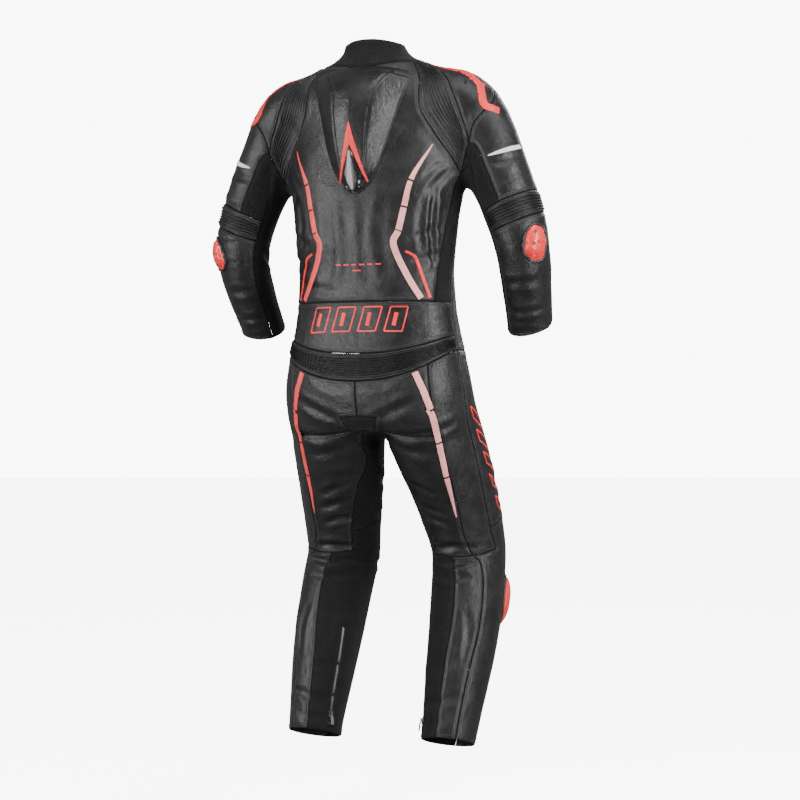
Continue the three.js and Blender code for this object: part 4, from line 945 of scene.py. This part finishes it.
def shell(name, panel, sign, seed):
    """A thin closed wall on the panel's places: rolled edges, creases and ridges, one side's own."""
    p, n, pull = (v * [sign, 1, 1] for v in (panel.p, panel.n, panel.pull))
    lift = lift_of(panel, p, seed)
    quads = panel.quads if sign > 0 else panel.quads[:, ::-1]
    border = panel.border if sign > 0 else panel.border[:, ::-1]
    top = p + pull * (INSET + ROLL) + n * lift[:, None]
    low = p + pull * INSET + n * (lift - WALL)[:, None]
    rim_ids = np.unique(panel.border)
    at = np.full(len(p), -1)
    at[rim_ids] = np.arange(len(rim_ids))
    loops = [(0.75, -0.16), (0.3, -0.55), (0.0, -1.2)]
    parts, count = [top, low], 2 * len(p)
    chain = [border]
    for inset, sunk in loops:
        parts.append((p + pull * (INSET + inset) + n * (lift + sunk)[:, None])[rim_ids])
        chain.append(at[border] + count)
        count += len(rim_ids)
    chain.append(border + len(p))
    faces = [quads, quads[:, ::-1] + len(p)]
    for a, b in zip(chain[:-1], chain[1:]):
        faces.append(np.stack([a[:, 1], a[:, 0], b[:, 0], b[:, 1]], 1))
    rim3 = np.tile(rim_ids, 3)
    floats = {
        "seam": np.concatenate([panel.seam, panel.seam, np.zeros(len(rim3))]),
        "run": np.concatenate([panel.run, panel.run, panel.run[rim3]]),
        "fibre_across": np.concatenate([panel.fibre[:, 1], panel.fibre[:, 1], panel.fibre[rim3, 1]]),
    }
    material = MATERIALS["dotted" if panel.kind == "back_panel" else panel.finish]
    obj = make_object(name + "_cloth", np.concatenate(parts), faces, [material], None, floats)
    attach(obj, "suit")
    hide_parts(name)
    return top, quads


cloth_points, cloth_quads, count = [], [], 0
for order, kind in enumerate(PANELS):
    panel = Panel(kind)
    for tail, sign in [("", 1)] if kind in WHOLE else SIDES:
        top, quads = shell(kind + tail, panel, sign, 11 if sign > 0 else 23)
        cloth_points.append(top)
        cloth_quads.append(quads + count)
        count += len(top)
cloth_points, cloth_quads = np.concatenate(cloth_points), np.concatenate(cloth_quads)
CLOTH = BVHTree.FromPolygons(cloth_points.tolist(), cloth_quads.tolist())


def drop(p, n, tree=CLOTH, reach=45):
    """Points lowered along their directions onto the cloth as it now lies."""
    flat_p, flat_n = p.reshape(-1, 3), n.reshape(-1, 3)
    out = flat_p.copy()
    for k, (a, b) in enumerate(zip(flat_p, flat_n)):
        hit = tree.ray_cast(Vector(a + b * reach), Vector(-b), 2 * reach)[0]
        if hit is not None:
            out[k] = hit
    return out.reshape(p.shape)


def laid(grid):
    """A grid of guesses set on the cloth: places and directions."""
    p, n = land(grid, 10)
    lift = dot(drop(p, n) - p, n)
    ends = np.pad(lift, ((4, 4), (0, 0)), "edge")
    rows = len(lift)
    highest = np.max([ends[k:k + rows + 4] for k in range(5)], axis=0)
    lift = np.mean([highest[k:k + rows] for k in range(5)], axis=0)
    return p + n * lift[..., None], n


def rim_of(rows, cols):
    """Row and column numbers once round a grid's border."""
    return (np.concatenate([np.arange(rows), np.full(cols - 1, rows - 1), np.arange(rows - 2, -1, -1),
                            np.zeros(cols - 2, int)]),
            np.concatenate([np.zeros(rows, int), np.arange(1, cols), np.full(rows - 1, cols - 1),
                            np.arange(cols - 2, 0, -1)]))


def close_band(build, q, n, high, mat, sink=0.3):
    """A raised grid with its sides carried down into the cloth."""
    top = q + n * high[..., None]
    build.grid(top, mat)
    r, c = rim_of(*q.shape[:2])
    side_mat = mat if np.isscalar(mat) else int(np.asarray(mat).flat[0])
    build.grid(np.stack([top[r, c], q[r, c] - n[r, c] * sink]), side_mat, closed=True)


def edges_of(path, halves):
    """The two edges of a ribbon along landed places."""
    p, n = land(path, 10)
    way = np.gradient(p, axis=0)
    aside = unit(np.cross(n, way))
    return p + aside * halves[:, None], p - aside * halves[:, None]


def between(a, b, count):
    return a[:, None] + (b - a)[:, None] * np.linspace(0, 1, count + 1)[None, :, None]


def pillow(rows, cols, high, soft=0.18):
    """Height that falls off softly at all four sides."""
    t, s = np.linspace(0, 1, rows), np.linspace(0, 1, cols)
    edge = np.minimum.outer(np.minimum(t, 1 - t) * max(rows / cols, 1), np.minimum(s, 1 - s))
    return high * (0.55 + 0.45 * smooth(edge / soft))


def ribbon(build, path, halves, high=0.9, steps=60, across=4, mat=0, cuts=()):
    """A strip along a path; cuts are shares of its length where a thin black bar crosses it."""
    line = read_rows(np.array(path, float), np.linspace(0, len(path) - 1, steps + 1))
    place = np.linspace(0, 1, steps + 1)
    a, b = edges_of(line, np.interp(place, np.linspace(0, 1, len(halves)), halves))
    q, n = laid(between(a, b, across))
    mats = np.full((steps, across), mat)
    share = (np.arange(steps) + 0.5) / steps
    for cut in cuts:
        mats[np.argmin(np.abs(share - cut))] = 1
    close_band(build, q, n, pillow(steps + 1, across + 1, high), mats)


def show(build, name, materials, node=None, hard=False):
    """A built piece hung on the suit, with the part node it stands for hidden."""
    obj = build.object(name, [MATERIALS[m] for m in materials], hard)
    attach(obj, "suit")
    if node:
        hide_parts(node)
    return obj


BACK_STRIPE = [[138, 60, -158], [109, 86, -224], [98, 95, -276], [88, 102, -326], [79, 106, -354], [96, 86, -408],
               [118, 66, -460]]
FLANK_LINE = [[100, 98, -368], [121, 94, -380], [132, 90, -404], [150, 76, -458]]
THIGH_STRIPE = [[118, 92, -606], [140, 72, -672], [152, 46, -745], [157, 14, -819], [160, -32, -900]]
SHOULDER_STRIPE = [[124, 20, 14], [158, 22, 6], [188, 24, -6], [208, 24, -26], [219, 21, -50], [224, 20, -76],
                   [232, 19, -94], [246, 12, -104]]
ARM_SLASH = [[258, 50, -184], [282, 38, -176], [304, 8, -164]]
for tail, sign in SIDES:
    side = np.array([sign, 1, 1])
    back, thigh, shoulder, slash = Build(), Build(), Build(), Build()
    # Each side takes its own stripe leather; the right side's is the paler copy with painted highlight.
    pink = "pink" + tail
    ribbon(back, BACK_STRIPE * side, [1.0, 5.0, 6.0, 6.4, 6.6, 6.4, 6.0], 1.1, 96, 4, 0,
           (0.18, 0.345, 0.51))
    ribbon(back, FLANK_LINE * side, [2.0, 3.2, 3.4, 3.2], 0.9, 40, 3, 2)
    ribbon(thigh, THIGH_STRIPE * side, [6.4, 6.6, 6.2, 5.6, 1.0], 1.1, 90, 4, 0, (0.27, 0.51, 0.75))
    ribbon(shoulder, SHOULDER_STRIPE * side, [4.5, 8.0, 8.0, 8.0, 8.0, 7.5], 1.2, 60, 5)
    ribbon(slash, ARM_SLASH * side, [0.8, 3.6, 4.6, 4.0], 0.8, 24, 3)
    for build, node, finishes, width in (
            (back, "back_stripe", [pink, "smooth", "coral"], 0.014),
            (thigh, "thigh_stripe", [pink, "smooth"], 0.014),
            (shoulder, "shoulder_stripe", ["coral"], 0.016)):
        show(build, node + tail + "_strip", finishes, node + tail)
    show(slash, "arm_slash" + tail, ["white"])


# ------------------------------------------------------------------ hump, V and insert
HUMP = np.array([  # height, edge, shelf, crest, rim, high, mid
    (8, 108, 100, 88, 1, 6, 7), (-18, 105, 90, 64, 2, 20, 24), (-54, 94, 72, 44, 2, 32, 38),
    (-98, 79, 62, 36, 2, 36, 42), (-146, 64, 51, 31, 2, 31, 35), (-194, 49, 40, 26, 2, 19, 21), (-230, 33, 26, 16, 2, 9, 10),
    (-252, 9, 7, 4, 1, 2, 3),
], float)
HUMP_ROWS, HUMP_COLS = 90, 96


def hump_grid(rows, cols):
    table = read_rows(HUMP, np.linspace(0, len(HUMP) - 1, rows + 1))
    u = np.linspace(-3, 3, cols + 1)
    spots = np.array([-3, -2, -1, 0, 1, 2, 3])
    across, lift = np.zeros((rows + 1, cols + 1)), np.zeros((rows + 1, cols + 1))
    for shift in (-0.22, -0.11, 0, 0.11, 0.22):
        for r, (z, edge, shelf, crest, rim, high, mid) in enumerate(table):
            places = np.clip(u + shift, -3, 3)
            across[r] += np.interp(places, spots, [-edge, -shelf, -crest, 0, crest, shelf, edge]) / 5
            shelf_high = high * 0.45
            lift[r] += np.interp(places, spots, [rim, shelf_high, high, mid, high, shelf_high, rim]) / 5
    across[:, [0, -1]] = np.stack([-table[:, 1], table[:, 1]], 1)
    notch = 1.9 * np.exp(-(((np.abs(u) - 1.0) / 0.055) ** 2))
    lift -= notch * smooth(np.linspace(0, 6, rows + 1))[:, None]
    guess = np.stack([across, np.full_like(across, 96.0), np.repeat(table[:, :1], cols + 1, 1)], -1)
    p, n = land(guess, 14)
    return p, n, lift


hump_p, hump_n, hump_lift = hump_grid(HUMP_ROWS, HUMP_COLS)
hump_top = hump_p + hump_n * (hump_lift + 0.6)[..., None]
hump = Build()
hump.grid(hump_top, flip=True)
foot = hump_p - hump_n * 0.6
ring_c, ring_r = rim_of(HUMP_COLS + 1, HUMP_ROWS + 1)
hump.grid(np.stack([hump_top[ring_r, ring_c], foot[ring_r, ring_c]]), closed=True)
hump.grid(foot)
hump_obj = show(hump, "hump_pad", ["smooth"], "hump")
HUMP_SKIN = BVHTree.FromPolygons(hump_top.reshape(-1, 3).tolist(), [
    (k, k + 1, k + HUMP_COLS + 2, k + HUMP_COLS + 1)
    for r in range(HUMP_ROWS) for k in range(r * (HUMP_COLS + 1), r * (HUMP_COLS + 1) + HUMP_COLS)])


def tube(build, path, normals, radius, mat=0, around=8):
    way = unit(np.gradient(path, axis=0))
    aside = unit(np.cross(normals, way))
    up = np.cross(way, aside)
    angle = np.linspace(0, 2 * np.pi, around, endpoint=False)
    rings = (path[:, None] + radius * (np.cos(angle)[None, :, None] * aside[:, None]
                                       + np.sin(angle)[None, :, None] * up[:, None]))
    build.grid(rings, mat, closed=True)


piping = Build()
pipe_p, pipe_n = hump_p[ring_r, ring_c], hump_n[ring_r, ring_c]
for _ in range(3):
    pipe_p = (np.roll(pipe_p, 1, 0) + 2 * pipe_p + np.roll(pipe_p, -1, 0)) / 4
pipe_p = drop(pipe_p, pipe_n) + pipe_n * 1.0
tube(piping, np.concatenate([pipe_p, pipe_p[:1]]), np.concatenate([pipe_n, pipe_n[:1]]), 2.1)
show(piping, "hump_piping", ["smooth"])


def on_hump(x, z):
    """Places on the hump's skin straight behind x and z."""
    x, z = np.broadcast_arrays(np.asarray(x, float), np.asarray(z, float))
    q, n = np.zeros(x.shape + (3,)), np.zeros(x.shape + (3,))
    for k in np.ndindex(x.shape):
        hit, normal, _, _ = HUMP_SKIN.ray_cast(Vector((x[k], 260, z[k])), Vector((0, -1, 0)), 400)
        if hit is None:
            hit, normal, _, _ = CLOTH.ray_cast(Vector((x[k], 260, z[k])), Vector((0, -1, 0)), 400)
        if hit is None:
            hit, normal = (x[k], 100, z[k]), (0, 1, 0)
        q[k] = hit
        n[k] = normal if normal[1] > 0 else -np.array(normal)
    return q, n


def hump_patch(build, a, b, high, mat=0, steps=28, across=10):
    place = np.linspace(0, 1, steps + 1)

    def along(points):
        points = np.array(points, float)
        run = np.concatenate([[0], np.cumsum(np.linalg.norm(np.diff(points, axis=0), axis=1))])
        return np.stack([np.interp(place * run[-1], run, points[:, k]) for k in (0, 1)], 1)

    a, b = along(a), along(b)
    grid = between(a, b, across)
    q, n = on_hump(grid[..., 0], grid[..., 1])
    close_band(build, q, n, pillow(steps + 1, across + 1, high), mat)


vee = Build()
for sign in (1, -1):
    outer = [(0, -112), (-31 * sign, -230)]
    inner = [(0, -158), (-28 * sign, -232)]
    hump_patch(vee, outer, inner, 1.1, 0, 34, 6)
show(vee, "hump_v_shape", ["coral"], "hump_v")
insert = Build()
hump_patch(insert, [(0, -161), (-12, -194), (-24, -227), (-18, -241), (0, -248)],
           [(0, -161), (12, -194), (24, -227), (18, -241), (0, -248)], 5.0, 0, 34, 14)
show(insert, "hump_insert_gloss", ["gloss"], "hump_insert")


# ------------------------------------------------------------------ hard cups, knee sliders
SPOKES = 48
ELBOW_SEAT, KNEE_SEAT = np.array([342, 28, -354]), np.array([196, -178, -1082])
CUP_FINISH = ["plastic", "black_plastic"]
SCREW = ((-0.5, 2.6), (0.9, 2.6), (1.2, 2.1), (0.7, 1.2), (0.7, 0.05))  # height and radius of its rings


def dome(seat_guess, towards, across, along, outline, profile, rings):
    """A cup over a place on the cloth: outline(angle) is its reach, profile(r) its height."""
    seat, n = (v[0] for v in land(np.array([seat_guess], float)))
    side = unit(np.cross(towards, n))
    up = np.cross(n, side)
    r = np.linspace(0.02, 1, rings + 1)[:, None]
    angle = np.linspace(0, 2 * np.pi, SPOKES, endpoint=False)
    reach = np.array([outline(a) for a in angle])
    x, y = r * reach * np.cos(angle) * across, r * reach * np.sin(angle) * along
    guess = seat + side * x[..., None] + up * y[..., None]
    p, normal = land(guess, 10)
    p = drop(p, normal)
    high = profile(np.broadcast_to(r, x.shape))
    top = p + normal * high[..., None]
    return top, p, normal


def finish_dome(build, top, base, normal, mats, out, raised):
    """The dome's skin, its side and middle, and a black binder round its edge."""
    build.grid(top, mats, closed=True)
    build.grid(np.stack([top[-1], base[-1] - normal[-1] * 0.5]), 0, closed=True)
    build.grid(np.stack([top[0] * 0 + top[0].mean(0), top[0]]), 0, closed=True)
    edge = base[-1] + unit(base[-1] - base[0].mean(0)) * out
    edge, facing = (np.concatenate([v, v[:1]]) for v in (edge, normal[-1]))
    tube(build, edge + facing * raised, facing, 2.6, 1)


# Corners of the elbow cup: share of its half width, share of its half length.
ELBOW_CORNERS = np.array([(1.02, 0.30), (0.55, 1.0), (-0.30, 1.05), (-0.98, 0.35), (-1.0, -0.75),
                          (-0.2, -1.05), (0.78, -0.85)])


def elbow_outline(angle):
    """Reach of the seven-cornered outline, with its corners softened."""
    reach = []
    for turn in (angle - 0.12, angle, angle + 0.12):
        way = np.array([math.cos(turn), math.sin(turn)])
        for a, b in zip(ELBOW_CORNERS, np.roll(ELBOW_CORNERS, -1, 0)):
            grid = np.array([way, a - b]).T
            if abs(np.linalg.det(grid)) < 1e-9:
                continue
            far, share = np.linalg.solve(grid, a)
            if far > 0 and -1e-9 <= share <= 1 + 1e-9:
                reach.append(far)
                break
    return float(np.mean(reach))


def elbow_profile(r):
    return 2.2 + 9.5 * (1 - r ** 2.6) - 1.6 * np.exp(-(((r - 0.86) / 0.04) ** 2))


def knee_profile(r):
    return 2.5 + 14.5 * (1 - r ** 3.0) ** 0.8


for tail, sign in SIDES:
    side = np.array([sign, 1, 1])
    cup = Build()
    top, base, normal = dome(ELBOW_SEAT * side, np.array([0.1 * sign, -0.2, 1]), 27 * sign, 33,
                             elbow_outline, elbow_profile, 14)
    finish_dome(cup, top, base, normal, 0, 2.6, 1.0)
    for k in (8, 34):
        spot, facing = top[9, k], normal[9, k]
        u = unit(np.cross(facing, [0, 0, 1]))
        v = np.cross(facing, u)
        angle = np.linspace(0, 2 * np.pi, 14, endpoint=False)[None, :, None]
        disc = np.cos(angle) * u + np.sin(angle) * v
        rings = [spot + facing * h + disc[0] * radius for h, radius in SCREW]
        cup.grid(np.array(rings), 1, closed=True)
    show(cup, "elbow_cup" + tail + "_plate", CUP_FINISH, "elbow_cup" + tail)
    knee = Build()
    top, base, normal = dome(KNEE_SEAT * side, np.array([0, 0.3, 1]), 40 * sign, 57,
                             lambda a: 1 + 0.04 * math.cos(4 * a), knee_profile, 18)
    spoke = np.arange(SPOKES)
    groove = (np.abs(spoke - 11.5) < 1) | (np.abs(spoke - 35.5) < 1)
    finish_dome(knee, top, base, normal, groove.astype(int)[None], 2.4, 0.0)
    show(knee, "knee_slider" + tail + "_puck", CUP_FINISH, "knee_slider" + tail)


# ------------------------------------------------------------------ zips
def teeth(build, path, pitch, half, high):
    """Two interlocking rows of moulded teeth along a landed path."""
    run = np.concatenate([[0], np.cumsum(np.linalg.norm(np.diff(path, axis=0), axis=1))])
    count = int(run[-1] / pitch)
    spots = np.stack([np.interp((np.arange(count) + 0.5) * pitch, run, path[:, k]) for k in range(3)], 1)
    p, n = land(spots, 8)
    p = drop(p, n)
    way = unit(np.gradient(p, axis=0))
    aside = unit(np.cross(n, way))
    for k in range(count):
        sign = 1 if k % 2 else -1
        mid = p[k] + aside[k] * sign * half * 0.35
        corners = [mid + aside[k] * a * half * 0.75 + way[k] * b * pitch * 0.3 + n[k] * c
                   for c in (0.0, high) for a, b in ((-1, -1), (1, -1), (1, 1), (-1, 1))]
        build.block(corners)


front = Build()
FRONT_ZIP_HEIGHTS = (16, -30, -88, -154, -224, -320, -416, -500, -563, -640)
front_path = np.array([[0, trunk_guess(-90, z)[1] - 2, z] for z in FRONT_ZIP_HEIGHTS], float)
front_line = land(read_rows(front_path, np.linspace(0, len(front_path) - 1, 160)), 8)[0]
teeth(front, front_line, 3.2, 3.0, 1.6)
show(front, "front_zip_teeth", ["metal"], None, hard=True)

ANKLE_ZIP = [[98, -50, -1132], [97, -33, -1180], [97, -14, -1230], [98, 2, -1280], [100, 12, -1325]]
for tail, sign in SIDES:
    side = np.array([sign, 1, 1])
    zip_ = Build()
    ribbon(zip_, ANKLE_ZIP * side, [8], 1.0, 60, 6)
    ankle_line = land(read_rows(ANKLE_ZIP * side, np.linspace(0, 4, 60)), 8)[0]
    tooth = Build()
    teeth(tooth, ankle_line, 2.8, 2.4, 2.2)
    show(zip_, "ankle_zip" + tail + "_tape", ["zip"], "ankle_zip" + tail)
    k = 51
    way = unit(ankle_line[k + 1] - ankle_line[k - 1])
    n = land(ankle_line[k:k + 1], 4)[1][0]
    aside = np.cross(n, way)
    corners = [ankle_line[k] + aside * a * 4.5 + way * b * 6 + n * c for c in (0.6, 3.8)
               for a, b in ((-1, -1), (1, -1), (0.7, 1), (-0.7, 1))]
    tooth.block(corners)
    show(tooth, "ankle_zip" + tail + "_teeth", ["metal"], None, hard=True)

# ------------------------------------------------------------------ plain decoration
def slanted(x0, x1, z0, z1, lean):
    """A leaning four-cornered outline in height and side-to-side place."""
    return [(x0, z0), (x1, z0), (x1 + lean, z1), (x0 + lean, z1)]


BAR_DEPTH = 106


def bar_between(build, a, b, half, high=0.8):
    """A bar on the back between two (x, height) places."""
    a, b = (np.array([x, BAR_DEPTH, z], float) for x, z in (a, b))
    ribbon(build, [a, (a + b) / 2, b], [half], high, 14, 2)


waist = Build()
for k in range(4):
    x = 96 - 56 * k
    corners = slanted(x, x - 38, -476, -524, 14)
    for i in range(4):
        bar_between(waist, corners[i], corners[(i + 1) % 4], 1.5)
    bar_between(waist, (x - 12, -487), (x - 6, -513), 4.0)
show(waist, "waist_bars", ["coral"], None)
small = Build()
for k in range(6):
    x = 44 - 17 * k
    bar_between(small, (x, -392), (x - 11, -392), 1.5, 0.6)
bar_between(small, (8, -404), (-10, -404), 1.3, 0.6)
show(small, "back_dashes", ["coral"], None)
for tail, sign in SIDES:
    thigh_bars = Build()
    for k in range(5):
        z, y = -672 - 46 * k, -8 - 27 * k
        row = np.array([(206, y, z), (210, y - 28, z - 10), (206, y - 56, z - 22)], float) * [sign, 1, 1]
        low = row + [0, -14, -24]
        ends = [([row[i], (row[i] + low[i]) / 2, low[i]], 10) for i in (0, 2)]
        for path, steps in [(row, 20), (low, 20), *ends]:
            ribbon(thigh_bars, path, [1.7], 0.8, steps, 2)
    show(thigh_bars, "thigh_bars" + tail, ["coral"], None)

# ------------------------------------------------------------------ CAD nodes shown as they are
for name in ("zip_slider", "zip_pull", "ankle_pull_left", "ankle_pull_right"):
    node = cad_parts[name]
    node.data.materials.clear()
    node.data.materials.append(MATERIALS["metal"])

# ------------------------------------------------------------------ floor, light, camera
scene = bpy.context.scene


def pale_plane(name, size, place, glow):
    """A plain glowing plane that lights nothing and shows in no reflection."""
    shade = Shade("pale_" + name, (0.93, 0.93, 0.93), 0.8, specular=0.1)
    shade.shader.inputs["Emission Color"].default_value = (1, 1, 1, 1)
    shade.shader.inputs["Emission Strength"].default_value = glow
    bpy.ops.mesh.primitive_plane_add(size=size, location=place)
    plane = bpy.context.object
    plane.name = name
    plane.data.materials.append(shade.mat)
    plane.visible_glossy = plane.visible_diffuse = False
    return plane


pale_plane("floor", 60, (0, 0, -1.405), 7.0)
world = bpy.data.worlds.new("studio")
scene.world = world
world.use_nodes = True
world.node_tree.nodes["Background"].inputs[0].default_value = (1, 1, 1, 1)
world.node_tree.nodes["Background"].inputs[1].default_value = 0.30

TARGET = Vector((-0.043, -0.017, -0.660))
AZIMUTH = math.radians(202)
away = Vector((math.sin(AZIMUTH), -math.cos(AZIMUTH), 0))
camera_data = bpy.data.cameras.new("camera")
camera_data.lens = 84.2
camera_data.sensor_width = 36
camera = bpy.data.objects.new("camera", camera_data)
camera.location = TARGET + away * 3.8
camera.rotation_euler = (TARGET - camera.location).to_track_quat("-Z", "Y").to_euler()
scene.collection.objects.link(camera)
scene.camera = camera


def lamp(name, turn, distance, height, size, power):
    """A soft area light; turn is degrees round from the camera's side."""
    angle = AZIMUTH + math.radians(turn)
    data = bpy.data.lights.new(name, "AREA")
    data.shape = "RECTANGLE"
    data.size, data.size_y = size
    data.energy = power
    obj = bpy.data.objects.new(name, data)
    obj.location = (math.sin(angle) * distance, -math.cos(angle) * distance, height + TARGET.z)
    obj.rotation_euler = (TARGET - obj.location).to_track_quat("-Z", "Y").to_euler()
    scene.collection.objects.link(obj)


wall = pale_plane("backdrop", 40, TARGET - away * 14, 9.0)
wall.rotation_euler = away.to_track_quat("Z", "Y").to_euler()
lamp("key", 52, 2.6, 1.1, (0.7, 2.0), 75)
lamp("fill", -66, 2.6, 0.8, (0.6, 2.0), 50)
lamp("top", 10, 1.2, 2.4, (1.6, 1.0), 32)
lamp("rim", 150, 2.4, 1.4, (0.6, 1.6), 25)
lamp("low_right", 40, 2.4, -0.35, (0.5, 1.3), 34)
lamp("low_left", -48, 2.4, -0.3, (0.5, 1.3), 30)
